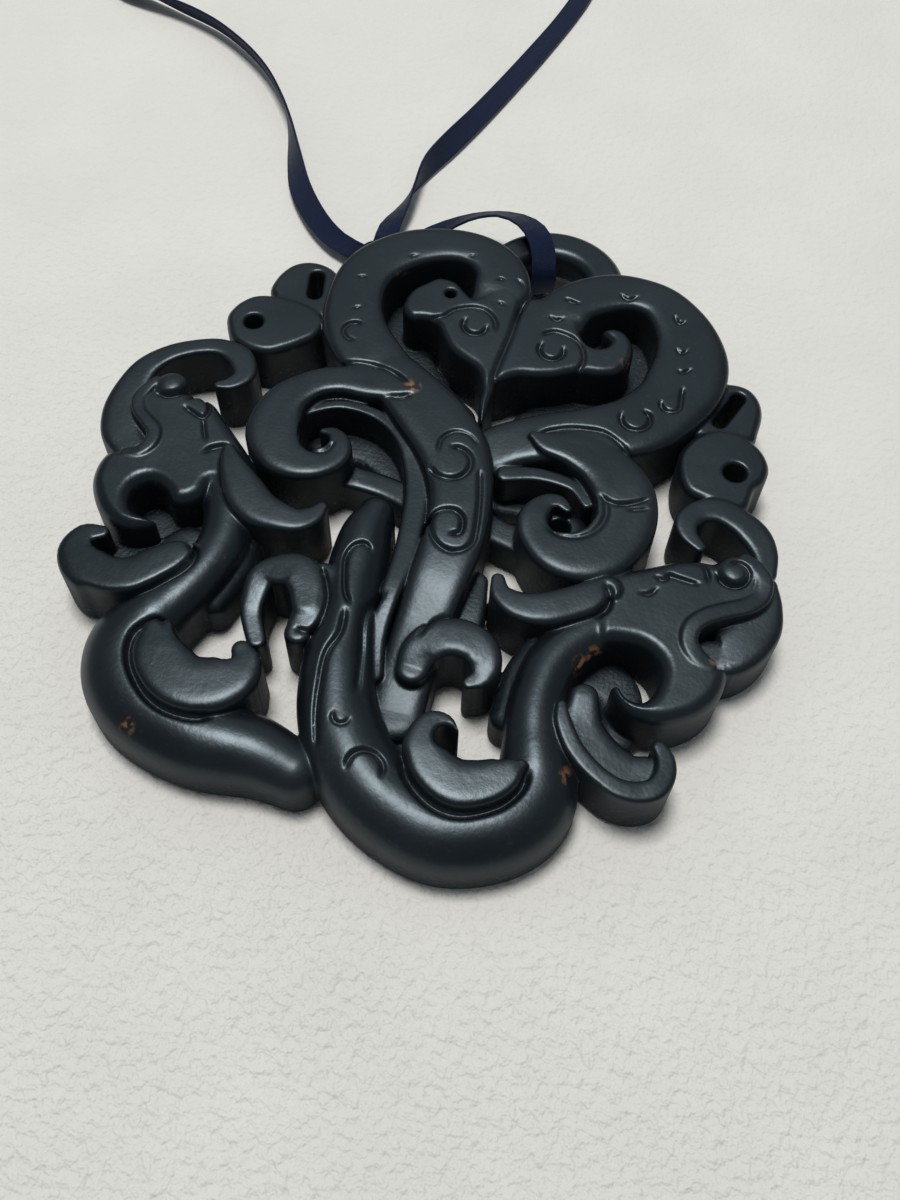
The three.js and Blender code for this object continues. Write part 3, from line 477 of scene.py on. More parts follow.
# Flat-topped forms: height, rounding of the edge, outline.
PLATES = {
    "leftHeart": (7.7, 0.9, [
        (-11.7, 26.9), (-9.7, 27), (-8.2, 26.1), (-6.7, 25.4), (-5.2, 27.1), (-3.7, 28.2), (-1.7, 27),
        (-0.5, 22.9), (-0.3, 19), (0.1, 15.3), (0.5, 11.8), (0.7, 8.7), (-0.5, 10.9), (-1.1, 13.4),
        (-2.5, 15.5), (-4.4, 16.3), (-6.5, 17.2), (-7.9, 18.6), (-9.2, 20), (-10.8, 20.2), (-12.3, 19.7),
        (-13.7, 20.6), (-14.1, 22.4), (-13.8, 24.1), (-12.9, 25.5),
    ]),
    "rightHeart": (7.7, 0.9, [
        (-1.3, 27.2), (0.7, 28.6), (3.3, 28.7), (5.2, 27.6), (6.1, 25.6), (7.2, 24.1), (8.5, 23.7),
        (9.6, 24.3), (9.9, 25.3), (9.1, 25.8), (8.6, 26.5), (9.6, 27.3), (10.9, 27.2), (12.1, 26.2),
        (12.8, 24.6), (12.8, 22.8), (12, 21.1), (10.5, 20.2), (9, 19.8), (7.6, 19.4), (6, 18.2),
        (4, 17.2), (2, 16.5), (0.6, 15.2), (-0.4, 14.6), (-0.9, 16.6),
        (-1, 19.1), (-1.3, 23),
    ]),
    "leftHead": (7.4, 1.5, [
        (-34.4, -0.8), (-34, 1.3), (-32.4, 1.9), (-31, 1.1), (-29.9, 0.2), (-28.7, 0.5), (-27.1, 0),
        (-25.1, -1.4), (-22.8, -3), (-20.5, -4.7), (-18.5, -6.6), (-17.6, -8.8), (-20.4, -10),
        (-22.2, -9.6), (-22.3, -11.2), (-23.3, -12.7), (-24.9, -13.3), (-26.4, -12.3), (-28.2, -11.9),
        (-29.2, -12.8), (-29.2, -14.3), (-28.3, -15.6), (-26.8, -15.9), (-25.3, -16.1), (-25.7, -17),
        (-27.3, -17.9), (-29.2, -18), (-31.2, -17.2), (-32.8, -15.8), (-34.1, -13.9), (-34.6, -11.7),
        (-34.2, -10), (-32.7, -9.2), (-31.6, -8.2), (-31.6, -6.7), (-32.9, -5.5), (-34.5, -4.4),
        (-35.4, -2.7),
    ]),
    "rightHead": (7.4, 1.5, [
        (18.5, -5.4), (20.3, -3.4), (22.5, -1.9), (24.1, -0.7), (25.7, 0.4), (27.5, 1.1), (28.9, 1.4),
        (30, 2.4), (31.6, 3), (33.2, 2.5), (34.4, 1), (34.5, -1), (33.6, -2.5), (31.9, -3.9),
        (30.3, -5.4), (29.6, -6.8), (29.8, -8.3), (30.8, -9.6), (32.2, -10), (33.4, -10), (33.7, -11.7),
        (33.4, -13.5), (32.4, -15.3), (31, -16.7), (29.3, -17.8), (27.4, -18.2), (25.8, -18), (24.5, -17.2),
        (23.7, -16.1), (24.3, -15.6), (25.4, -16.4), (26.7, -16.4), (27.5, -15.4), (27.7, -13.9),
        (27.4, -12.4), (26.4, -11.3), (24.8, -10.8), (22.9, -11.1), (21.2, -11.6), (19.9, -10.1),
    ]),
    "leftLobe": (6.5, 0.9, [
        (-32.1, 12.1), (-32.4, 13.5), (-31.9, 15.4), (-30.6, 17), (-28.1, 17.8), (-23.9, 17.7),
        (-21.6, 16.4), (-21.4, 14), (-22.5, 12.2), (-23.8, 10.7), (-25.2, 9.5), (-26.9, 9), (-28.9, 9.2),
        (-30.6, 10),
    ]),
    "leftLeaf": (6.3, 0.9, [
        (-29.4, 18), (-30, 20.2), (-29.5, 22.6), (-28.3, 24.1), (-26.3, 24.8), (-24, 24.3), (-22, 22.4),
        (-21.4, 18.9), (-22.4, 16.6), (-26.3, 16.6),
    ]),
    "rightLobe": (6.5, 0.9, [
        (21.6, 13.9), (21.9, 15.5), (22.7, 17.2), (24.6, 18.6), (27.2, 19), (29.6, 17.9), (31, 16),
        (31.1, 14), (30.4, 12.4), (30.2, 9.9), (28.2, 9), (25, 9), (23.4, 9.6), (22.2, 11.4),
    ]),
    "rightLeaf": (6.3, 0.9, [
        (22, 24.4), (23.8, 25.8), (26, 26), (27.6, 24.9), (28.5, 23), (28.7, 20.6), (28.5, 18.6),
        (25.9, 17.6), (22.8, 17), (21.4, 19.6),
    ]),
}

# Round lobes: x, y, radius, top.
LOBES = [(31.2, 0.6, 2.1, 8), (-32.4, 0.2, 1.8, 7.9), (13.6, -0.4, 2.6, 6.6)]
# Holes drilled through: the two ends' middles and the radius. A round one has its ends in one place.
HOLES = [
    (27.8, 13.6, 27.8, 13.6, 1.2), (-29, 12.9, -29, 12.9, 1.05), (-9.5, 24.8, -9.5, 24.8, 0.6),
    (-14.1, -0.5, -14.1, -0.5, 0.8), (12.9, -0.5, 12.9, -0.5, 1.15), (11.3, -27.2, 11.3, -27.2, 1.1),
    (-25.5, 22.4, -24.6, 19.8, 0.8), (25.4, 23.8, 24.4, 19.8, 0.75),
]

# The field that the stone is cut from: a grid of distances to its surface, in millimetres.
VOXEL = 0.17
MARGIN = 2.0
LOW = np.array([-39.5, -41.5, -0.8])
HIGH = np.array([39.0, 43.5, 8.9])
# How far two strands melt into each other where they meet.
FILLET = 0.3
# How flat a strand's crest is, its edge's rounding as a share of the half width, and the
# deepest rounding. The bodies and necks are rounder, and the lobes are domed.
SOFT = (2.0, 0.8, 3.9)
CRISP = (4.0, 0.62, 1.5)
DOMED = (2.4, 0.62, 1.8)
# The gap between a strand's smooth rows, and between an engraved line's.
ROW_GAP = 0.3
MARK_GAP = 0.2
# The share of its depth that an engraved line keeps at its ends, and its fading's length in widths.
MARK_END = 0.25
MARK_FADE = 1.2
# The softening of a hole's rim and of the back's edge.
HOLE_RIM = 0.5
BACK_EDGE = 0.6
# The least value that a length is divided by.
LEAST = 1e-3
# An arc's step in degrees, and its fewest steps.
ARC_STEP = 24
ARC_FEWEST = 4
STONE_TRIANGLES = 190000
# A hollow's shade: the lowest height that counts, the blur's reach in grid steps, how far above
# its surroundings a place starts to count as hollow, and how much lower it is fully so.
LOWEST_CREST = 3
BLUR_REACH = 9
HOLLOW_START = 0.2
HOLLOW_DEPTH = 3


def strands():
    """Every strand's rows, both dragons' ones among them."""
    out = list(SINGLES.items())
    for name, pair in PAIRS.items():
        out.append((name + "Right", pair["right"]))
        if "left" in pair:
            out.append((name + "Left", pair["left"]))
        else:
            outward, up = pair["nudge"]
            out.append((name + "Left", [(-(x + outward), y + up, *rest) for x, y, *rest in pair["right"]]))
    return out


def nearest(line, xs, ys):
    """For each place, its distance to a line of rows and the row's values at the nearest point."""
    gx, gy = np.meshgrid(xs, ys, indexing="ij")
    places = np.stack([gx.ravel(), gy.ravel()], 1)
    near = (line[:, :2] ** 2).sum(1)[None] - 2 * places @ line[:, :2].T
    middle = near.argmin(1)
    best = np.full(len(places), np.inf)
    values = np.zeros((len(places), line.shape[1] - 2))
    for first in (middle - 1, middle):
        a = line[np.clip(first, 0, len(line) - 2)]
        b = line[np.clip(first, 0, len(line) - 2) + 1]
        step = (b - a)[:, :2]
        share = ((places - a[:, :2]) * step).sum(1) / np.maximum((step ** 2).sum(1), 1e-12)
        share = np.clip(share, 0, 1)[:, None]
        gap = np.linalg.norm(places - a[:, :2] - share * step, axis=1)
        closer = gap < best
        best[closer] = gap[closer]
        values[closer] = (a + share * (b - a))[closer, 2:]
    return best.reshape(gx.shape), values.reshape(gx.shape + (-1,))


def inside(line, xs, ys):
    """Whether each place lies inside a closed line."""
    gx, gy = np.meshgrid(xs, ys, indexing="ij")
    out = np.zeros(gx.shape, bool)
    for (ax, ay), (bx, by) in zip(line[:-1], line[1:]):
        if ay != by:
            out ^= ((ay > gy) != (by > gy)) & (gx < (bx - ax) * (gy - ay) / (by - ay) + ax)
    return out


class Field:
    """The grid of distances, with the stone's strands joined into it."""

    def __init__(self):
        self.size = np.ceil((HIGH - LOW) / VOXEL).astype(int) + 1
        self.x, self.y, self.z = (LOW[i] + VOXEL * np.arange(self.size[i]) for i in range(3))
        self.near = np.full(tuple(self.size), MARGIN, np.float32)

    def window(self, low, high):
        """The grid's slices that hold a rectangle of the drawing."""
        start = [max(int((low[i] - LOW[i]) / VOXEL), 0) for i in range(2)]
        stop = [min(int((high[i] - LOW[i]) / VOXEL) + 2, self.size[i]) for i in range(2)]
        return slice(start[0], stop[0]), slice(start[1], stop[1])

    def join(self, part, shape, fillet=FILLET):
        """Joins a shape to the field, with a small fillet in the corner between them."""
        old = self.near[part]
        blend = np.clip(0.5 + 0.5 * (old - shape) / fillet, 0, 1)
        self.near[part] = old + (shape - old) * blend - fillet * blend * (1 - blend)

    def strand(self, rows, flatness, share, deepest):
        """A strand with upright walls, a rounded edge and a crest."""
        line = smooth_rows(rows, ROW_GAP)
        reach = line[:, 2].max() + MARGIN
        part = self.window(line[:, :2].min(0) - reach, line[:, :2].max(0) + reach)
        gap, values = nearest(line, self.x[part[0]], self.y[part[1]])
        half, top = values[..., 0], values[..., 1]
        drop = np.minimum(share * half, deepest)
        u = gap / half
        w = np.maximum(self.z[None, None, :] - (top - drop)[..., None], 0).astype(np.float32)
        v = w / drop[..., None]
        size = (u[..., None] ** flatness + v ** flatness) ** (1 / flatness)
        length = np.sqrt(gap[..., None] ** 2 + w ** 2)
        flat = (gap - half)[..., None] + 0 * w
        shape = np.where(size > LEAST, length - length / np.maximum(size, LEAST), -half[..., None])
        shape = np.where(w > 0, shape, flat)
        self.join(part, np.clip(shape, -MARGIN, MARGIN).astype(np.float32))

    def plate(self, top, edge, outline):
        """A flat-topped form inside an outline."""
        line = smooth_rows(outline, ROW_GAP, closed=True)
        part = self.window(line.min(0) - MARGIN, line.max(0) + MARGIN)
        xs, ys = self.x[part[0]], self.y[part[1]]
        gap, _ = nearest(np.column_stack([line, line]), xs, ys)
        side = np.where(inside(line, xs, ys), -gap, gap)[..., None] + edge
        rise = self.z[None, None, :] - top + edge
        outside = np.hypot(np.maximum(side, 0), np.maximum(rise, 0))
        shape = outside + np.minimum(np.maximum(side, rise), 0) - edge
        self.join(part, np.clip(shape, -MARGIN, MARGIN).astype(np.float32))

    def lobe(self, x, y, radius, top):
        """A round lobe with a domed top."""
        reach = radius + MARGIN
        part = self.window((x - reach, y - reach), (x + reach, y + reach))
        gap = np.hypot(self.x[part[0]][:, None] - x, self.y[part[1]][None] - y)
        flatness, share, deepest = DOMED
        drop = min(share * radius, deepest)
        w = np.maximum(self.z[None, None, :] - (top - drop), 0)
        size = ((gap / radius)[..., None] ** flatness + (w / drop) ** flatness) ** (1 / flatness)
        length = np.sqrt(gap[..., None] ** 2 + w ** 2)
        shape = np.where(w > 0, length - length / np.maximum(size, LEAST), (gap - radius)[..., None])
        self.join(part, np.clip(shape, -MARGIN, MARGIN).astype(np.float32))

    def ring(self):
        """The hanging ring, a band of rounded section that is lifted off the back."""
        x, y = RING_CENTRE
        reach = RING_BORE / 2 + RING_BAND + MARGIN
        part = self.window((x - reach, y - reach), (x + reach, y + reach))
        gap = np.hypot(self.x[part[0]][:, None] - x, self.y[part[1]][None] - y)
        side = np.abs(gap - (RING_BORE + RING_BAND) / 2)[..., None] - RING_BAND / 2 + RING_ROUNDING
        rise = np.abs(self.z - (RING_TOP + RING_LIFT) / 2)[None, None]
        rise = rise - (RING_TOP - RING_LIFT) / 2 + RING_ROUNDING
        outside = np.hypot(np.maximum(side, 0), np.maximum(rise, 0))
        shape = outside + np.minimum(np.maximum(side, rise), 0) - RING_ROUNDING
        self.join(part, np.clip(shape, -MARGIN, MARGIN).astype(np.float32))

    def drill(self, x, y, end_x, end_y, radius):
        """A round or long hole through the stone with a softened rim."""
        reach = radius + 3 * HOLE_RIM
        low = (min(x, end_x) - reach, min(y, end_y) - reach)
        high = (max(x, end_x) + reach, max(y, end_y) + reach)
        part = self.window(low, high)
        line = np.array([(x, y, 0), (end_x, end_y, 0)], float)
        gap, _ = nearest(line, self.x[part[0]], self.y[part[1]])
        cut = np.broadcast_to((radius - gap)[..., None], self.near[part].shape)
        self.near[part] = soft_max(self.near[part], cut, HOLE_RIM)

    def back(self):
        """The flat back with a worn edge."""
        below = np.broadcast_to(-self.z[None, None, :], self.near.shape)
        self.near = soft_max(self.near, below, BACK_EDGE)

    def engrave(self, line, width, depth):
        """A groove along a line of places, fading out at its ends."""
        line = smooth_rows(line, MARK_GAP)
        travelled = np.concatenate([[0], np.cumsum(np.linalg.norm(np.diff(line, axis=0), axis=1))])
        fade = np.clip(np.minimum(travelled, travelled[-1] - travelled) / (width * MARK_FADE), 0, 1)
        line = np.column_stack([line, MARK_END + (1 - MARK_END) * fade])
        part = self.window(line[:, :2].min(0) - width * 2, line[:, :2].max(0) + width * 2)
        gap, values = nearest(line, self.x[part[0]], self.y[part[1]])
        groove = depth * values[..., 0] * np.exp(-((gap / (width / 2)) ** 2))
        self.near[part] += groove[..., None].astype(np.float32)


def soft_max(a, b, size):
    """The larger of two fields, with their edge rounded over about size."""
    blend = np.clip(0.5 - 0.5 * (a - b) / size, 0, 1)
    return (a + (b - a) * blend + size * blend * (1 - blend)).astype(np.float32)


def arc(x, y, radius, start, sweep, end_radius=None):
    """Places on an arc or, with an end radius, on a spiral. Angles are degrees."""
    steps = max(ARC_FEWEST, round(abs(sweep) / ARC_STEP))
    last = radius if end_radius is None else end_radius
    out = []
    for i in range(steps + 1):
        share = i / steps
        angle = math.radians(start + sweep * share)
        reach = radius + (last - radius) * share
        out.append((x + reach * math.cos(angle), y + reach * math.sin(angle)))
    return out


# Engraved lines: places, width, depth. First the curls on the centre strand.
MARKS = [
    (arc(-0.1, 2.1, 1.9, 110, -250, 2.4), 0.55, 0.5),
    ([(-1.9, 2.8), (-2.2, 4.1), (-1.8, 5.3), (-0.9, 6), (0.4, 6), (1.7, 5.2)], 0.4, 0.3),
    ([(3.3, -6.4), (4.1, -5.9), (4, -5), (3.6, -4.1), (2.7, -3.6), (1.8, -3.8), (1, -4.4), (0.7, -5.4),
      (1.1, -6.6), (1.9, -7.6), (3, -8.2), (4.2, -8.2), (5.2, -7.6), (5.7, -6.5), (5.5, -5), (4.5, -1.5),
      (3.1, 2.1)], 0.5, 0.5),
    ([(0.8, -7.4), (0.4, -6.5), (0.4, -5.4), (0.8, -4.5)], 0.4, 0.25),
    # The heart: its groove, the lobes' edges and spirals.
    ([(-1.2, 27.5), (-1.2, 24.8), (-0.8, 21.6), (-0.6, 18.4), (-0.4, 15.6), (-0.2, 13.1)], 0.9, 0.3),
    ([(-10.2, 20.4), (-8.9, 21.2), (-8.3, 22.3), (-7.4, 23.2), (-6, 23.9), (-4.5, 23.8), (-3.2, 22.8),
      (-2.6, 21.4)], 0.5, 0.35),
    (arc(-5, 21.3, 1.45, 160, 215, 1.3), 0.5, 0.45),
    ([(2.4, 22.9), (3.5, 23.9), (4.9, 24), (6.4, 23.6), (7.5, 22.5), (8.1, 20.8), (7.8, 19.6)], 0.5, 0.35),
    (arc(4.3, 21.2, 1.5, 160, 235, 1.3), 0.5, 0.45),
    # Ticks and curls on the tails.
    ([(-5.3, 28.7), (-4.9, 29), (-4.4, 28.9)], 0.4, 0.3),
    ([(-3.3, 29.5), (-2.8, 29.6), (-2, 29)], 0.4, 0.3),
    ([(-3.9, 25.6), (-3.1, 25.6)], 0.4, 0.3),
    ([(-9.7, 31.1), (-9, 31.4)], 0.4, 0.3),
    ([(-16.2, 28.2), (-15.3, 28.8)], 0.4, 0.3),
    ([(-20.3, 22.7), (-19.4, 23.1)], 0.4, 0.3),
    ([(-18.7, 17.9), (-18, 18.5)], 0.4, 0.3),
    (arc(-17, 14.8, 1.35, 80, 210), 0.45, 0.4),
    ([(2.4, 25.8), (3.2, 25.6), (3.9, 26.1)], 0.4, 0.35),
    ([(3.1, 29), (4.2, 28.8), (4.9, 28.9)], 0.4, 0.35),
    ([(8.7, 32.1), (9.8, 31.7), (10.7, 32.6)], 0.4, 0.35),
    ([(15.5, 31.3), (16.3, 30.4), (16.9, 31)], 0.4, 0.35),
    ([(17.1, 26.6), (17.8, 26.1), (18.4, 26.9)], 0.4, 0.35),
    ([(18.2, 23.6), (18.8, 23.4), (19.5, 24.3)], 0.4, 0.35),
    (arc(16.1, 15.2, 1.75, 175, 260, 1.4), 0.5, 0.45),
    (arc(18.9, 18.6, 1.1, 185, 200) + [(19.5, 21.2)], 0.45, 0.4),
    # The scrolls: their tips' ridges, seams and dished discs.
    ([(-17.5, 9.3), (-16.1, 10.2), (-14.4, 10.8), (-12.3, 11.1), (-10.3, 10.8), (-8.6, 10.1)], 0.5, 0.4),
    ([(-7.6, 8.6), (-8.6, 8), (-9.8, 7.6)], 0.6, 0.5),
    ([(7.1, 9.5), (8.1, 10.4), (9.8, 11.3), (11.7, 11.8), (13.4, 12), (15.2, 11.4), (16.8, 10.6)], 0.5, 0.4),
    ([(15.7, 4.1), (16.5, 3.7), (17.5, 3.6), (18.7, 4.1), (19.7, 4.8), (20.5, 5.6)], 0.5, 0.5),
    ([(18.9, 3.3), (20, 3.8), (20.9, 4.4)], 0.4, 0.3),
    (arc(13.3, 1.2, 3.9, 40, -150, 3.4), 0.6, 0.4),
    ([(-16.4, -0.8), (-15.2, -2), (-13.7, -2.3), (-12.7, -1.6), (-12.6, -0.2)], 0.5, 0.3),
    # The heads: eyes, brows, nose curls and the crests' roots.
    ([(-29.6, -2), (-28.5, -2.3), (-27.4, -2.6), (-26.9, -2.3), (-27, -1.2), (-27.8, -0.2), (-29.1, 0.1),
      (-29.9, -0.9)], 0.45, 0.4),
    ([(-26.9, -2.8), (-26.1, -4.1), (-25.3, -5.2)], 0.4, 0.3),
    ([(-33.1, -1.6), (-31.9, -1.3), (-30.9, -0.4), (-30.6, 0.8)], 0.55, 0.5),
    ([(-24.7, -6.6), (-24.1, -5.7), (-22.8, -4.8)], 0.6, 0.5),
    ([(24.9, -2.2), (26.2, -2.2), (27.2, -2.2), (28.1, -2.1)], 0.45, 0.4),
    ([(26.5, 0.4), (27.8, 0.3), (28.6, -0.5), (29, -1.5)], 0.45, 0.35),
    ([(23.9, -2.9), (24.8, -3), (25.3, -2)], 0.4, 0.3),
    ([(23.1, -5.4), (24, -5.1), (24.5, -4.2)], 0.4, 0.3),
    (arc(31.2, 0.5, 1.75, 205, 300, 1), 0.5, 0.5),
    ([(19.7, -6), (20.4, -6.8), (20.6, -8.1), (20.1, -9.3)], 0.7, 0.6),
    # The lines along the crossing body and round its foot.
    ([(-2.7, -17.7), (-3.7, -16.7), (-4.7, -14.7), (-5.4, -12.8), (-5.2, -11.4), (-4.3, -10.7),
      (-3.4, -11.1)], 0.45, 0.4),
    ([(-2.8, -18.6), (-2.2, -21), (-2.5, -23.5), (-1.8, -26.4), (-0.8, -29.4), (0.6, -32.3)], 0.6, 0.4),
    ([(-0.4, -14.6), (-1, -18), (0.4, -22), (1.8, -26)], 0.7, 0.4),
    (arc(1.6, -29, 0.8, 170, 200), 0.4, 0.3),
    (arc(5.6, -32.8, 1.6, 200, -200, 1.8), 0.5, 0.4),
    ([(-7.1, -14.8), (-6, -16.1), (-5.1, -17.7), (-4.7, -19.4), (-4.7, -20.9), (-5.3, -21.8),
      (-6.4, -22)], 0.45, 0.4),
    ([(6.6, -14.9), (5.7, -15.6), (5.1, -16.7), (4.7, -18.1)], 0.5, 0.4),
    # The deep grooves round the left jaw and below both fins.
    ([(-28.3, -25.8), (-26.5, -25.8), (-24.6, -25.3), (-23.1, -24.5), (-21.9, -23.2), (-20.8, -21.7),
      (-19.9, -20.3), (-19.5, -18.9), (-19.9, -17.7), (-21.1, -17.2)], 0.7, 0.7),
    ([(-18, -26.8), (-19, -26.2), (-20, -26.8), (-20.7, -28.2), (-20.5, -29.7), (-19.7, -31.2),
      (-18.3, -32.6), (-16.5, -33.8), (-14.7, -34.4), (-13, -34.5), (-11.3, -34.2), (-9.8, -33.5)],
     0.7, 0.6),
    ([(8.2, -30.1), (9.3, -31.8), (11.2, -33.1), (13.2, -33.7), (15.1, -33.5), (16.9, -32.5), (18.5, -31),
      (19.4, -29.1), (19.4, -27.4)], 0.7, 0.6),
]


def carve():
    """The stone's field, complete."""
    field = Field()
    field.ring()
    for name, rows in strands():
        field.strand(rows, *(SOFT if "Body" in name or "neck" in name else CRISP))
    for plate in PLATES.values():
        field.plate(*plate)
    for lobe in LOBES:
        field.lobe(*lobe)
    for hole in HOLES:
        field.drill(*hole)
    for places, width, depth in MARKS:
        field.engrave(places, width, depth)
    field.back()
    return field


def sample(grid, places):
    """The grid's value at each place, interpolated."""
    at = (places - LOW) / VOXEL
    at = np.clip(at, 0, np.array(grid.shape) - 1.001)
    whole = at.astype(int)
    part = at - whole
    out = np.zeros(len(places))
    for corner in range(8):
        step = np.array([corner & 1, corner >> 1 & 1, corner >> 2 & 1])
        weight = np.where(step, part, 1 - part).prod(1)
        i, j, k = (whole + step).T
        out += weight * grid[i, j, k]
    return out


def make_stone(material):
    """The carved stone as one mesh, with its normals taken from the field."""
    field = carve()
    grid = openvdb.FloatGrid(MARGIN)
    grid.copyFromArray(field.near)
    points, quads = grid.convertToQuads(isovalue=0)
    places = points * VOXEL + LOW
    mesh = bpy.data.meshes.new("carved_stone")
    mesh.vertices.add(len(places))
    offset = np.array([SHIFT[0], SHIFT[1], 0])
    mesh.vertices.foreach_set("co", (places * MM + offset).astype(np.float32).ravel())
    mesh.loops.add(len(quads) * 4)
    mesh.loops.foreach_set("vertex_index", quads.astype(np.int32).ravel())
    mesh.polygons.add(len(quads))
    mesh.polygons.foreach_set("loop_start", np.arange(0, len(quads) * 4, 4, dtype=np.int32))
    mesh.update()
    mesh.validate()
    piece = bpy.data.objects.new("carved_stone", mesh)
    bpy.context.collection.objects.link(piece)
    fewer = piece.modifiers.new("fewer", "DECIMATE")
    fewer.ratio = min(1.0, STONE_TRIANGLES / (2 * len(quads)))
    bpy.context.view_layer.update()
    finished = piece.evaluated_get(bpy.context.evaluated_depsgraph_get())
    reduced = bpy.data.meshes.new_from_object(finished)
    piece.modifiers.clear()
    piece.data = reduced
    shade(piece, field)
    dress(piece, material)
    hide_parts("stone")


def shade(piece, field):
    """Smooth normals from the field, and how deep in the carving each point lies."""
    mesh = piece.data
    flat = np.empty(len(mesh.vertices) * 3, np.float32)
    mesh.vertices.foreach_get("co", flat)
    places = (flat.reshape(-1, 3) - np.array([SHIFT[0], SHIFT[1], 0])) / MM
    step = VOXEL * 0.7
    slope = np.stack([
        sample(field.near, places + step * axis) - sample(field.near, places - step * axis)
        for axis in np.eye(3)
    ], 1)
    slope /= np.maximum(np.linalg.norm(slope, axis=1), 1e-9)[:, None]
    for polygon in mesh.polygons:
        polygon.use_smooth = True
    mesh.normals_split_custom_set_from_vertices(slope.tolist())
    # The height of the carving round each place, smoothed over a few millimetres.
    solid = field.near < 0
    highest = field.near.shape[2] - 1 - solid[:, :, ::-1].argmax(2)
    height = np.where(solid.any(2), LOW[2] + VOXEL * highest, 0)
    around = blur(np.maximum(height, LOWEST_CREST), BLUR_REACH)
    at = np.clip(((places[:, :2] - LOW[:2]) / VOXEL).astype(int), 0, np.array(height.shape) - 1)
    below = around[at[:, 0], at[:, 1]] - places[:, 2]
    recess = np.clip((below + HOLLOW_START) / HOLLOW_DEPTH, 0, 1)
    layer = mesh.attributes.new("recess", "FLOAT", "POINT")
    layer.data.foreach_set("value", recess.astype(np.float32))


def blur(values, reach):
    """A box blur, passed twice each way."""
    for _ in range(2):
        for axis in (0, 1):
            margins = [(reach, reach) if axis == i else (0, 0) for i in range(2)]
            padded = np.pad(values, margins, mode="edge")
            total = np.cumsum(np.insert(padded, 0, 0, axis=axis), axis=axis)
            width = 2 * reach + 1
            upper = np.take(total, range(width, total.shape[axis]), axis=axis)
            lower = np.take(total, range(0, total.shape[axis] - width), axis=axis)
            values = (upper - lower) / width
    return values


# Materials

class Nodes:
    """A short way to add and link a material's nodes."""

    def __init__(self, name):
        self.material = bpy.data.materials.new(name)
        self.material.use_nodes = True
        self.tree = self.material.node_tree
        self.shader = self.tree.nodes["Principled BSDF"]

    def add(self, kind, inputs=(), **settings):
        """A new node, with its inputs linked to sockets or set to values."""
        node = self.tree.nodes.new(kind)
        for key, value in settings.items():
            setattr(node, key, value)
        for key, value in dict(inputs).items():
            if isinstance(value, bpy.types.NodeSocket):
                self.tree.links.new(value, node.inputs[key])
            else:
                node.inputs[key].default_value = value
        return node

    def link(self, socket, name):
        """Links a socket to the shader."""
        self.tree.links.new(socket, self.shader.inputs[name])

    def set(self, **values):
        """Sets the shader's own sockets, with _ for each space in their names."""
        for name, value in values.items():
            self.shader.inputs[name.replace("_", " ")].default_value = value

    def noise(self, scale, detail=3, coordinates=None):
        """Noise from 0 to 1, finer with a larger scale."""
        inputs = {"Scale": scale, "Detail": detail}
        if coordinates is not None:
            inputs["Vector"] = coordinates
        return self.add("ShaderNodeTexNoise", inputs).outputs["Fac"]

    def ramp(self, value, low, high, start=0.0, end=1.0):
        """Takes a value between low and high to one between start and end."""
        inputs = {"Value": value, "From Min": low, "From Max": high, "To Min": start, "To Max": end}
        return self.add("ShaderNodeMapRange", inputs).outputs["Result"]

    def mix(self, share, a, b):
        """Two colours mixed, b by the share."""
        node = self.add("ShaderNodeMix", data_type="RGBA")
        for key, value in ((0, share), (6, a), (7, b)):
            if isinstance(value, bpy.types.NodeSocket):
                self.tree.links.new(value, node.inputs[key])
            else:
                node.inputs[key].default_value = value
        return node.outputs[2]

    def math(self, kind, a, b=0.0):
        """What the named operation makes of two values."""
        return self.add("ShaderNodeMath", {0: a, 1: b}, operation=kind).outputs[0]


# Places where the wax has worn through to the orange-brown stone: x, y, z, radius.
WORN = [
    (-24.1, -8.5, 6, 0.6), (-7.9, 9.7, 7.8, 0.8), (-23.7, 11.8, 5.5, 0.5), (-16, 26.1, 7.6, 0.7),
    (12, 22.9, 6.8, 0.7), (26.5, 4.3, 5.5, 0.6), (32.1, -9.7, 7, 0.6), (20, -14.4, 5.5, 0.9),
    (20.8, -12.8, 5.5, 0.8), (22.5, -26, 5.5, 0.8), (-18.6, -22.5, 4.5, 0.6), (-17.4, -17.6, 6, 0.7),
    (-16.6, -36.7, 5.5, 0.7), (6.6, -11.1, 6, 0.7),
]


# The stone's colours: its darker and lighter mottle, its pale grains, and where it is worn.
STONE_DARK = (0.003, 0.0045, 0.0065, 1)
STONE_LIGHT = (0.007, 0.0095, 0.0125, 1)
STONE_GRAIN = (0.05, 0.058, 0.06, 1)
STONE_WORN = (0.3, 0.13, 0.055, 1)
# The satin's colours: between and on its threads, and at its selvedges.
SATIN_DARK = (0.0015, 0.003, 0.011, 1)
SATIN_LIGHT = (0.006, 0.012, 0.045, 1)
SATIN_EDGE = (0.004, 0.008, 0.03, 1)
# The satin's ribs and floats, in millimetres from one to the next, and where its selvedge starts
# and is full, in millimetres from the middle.
RIB_PITCH = 0.28
FLOAT_PITCH = 0.2
SELVEDGE = (1.2, 1.35)
PAPER_DARK = (0.72, 0.705, 0.665, 1)
PAPER_LIGHT = (0.83, 0.815, 0.78, 1)


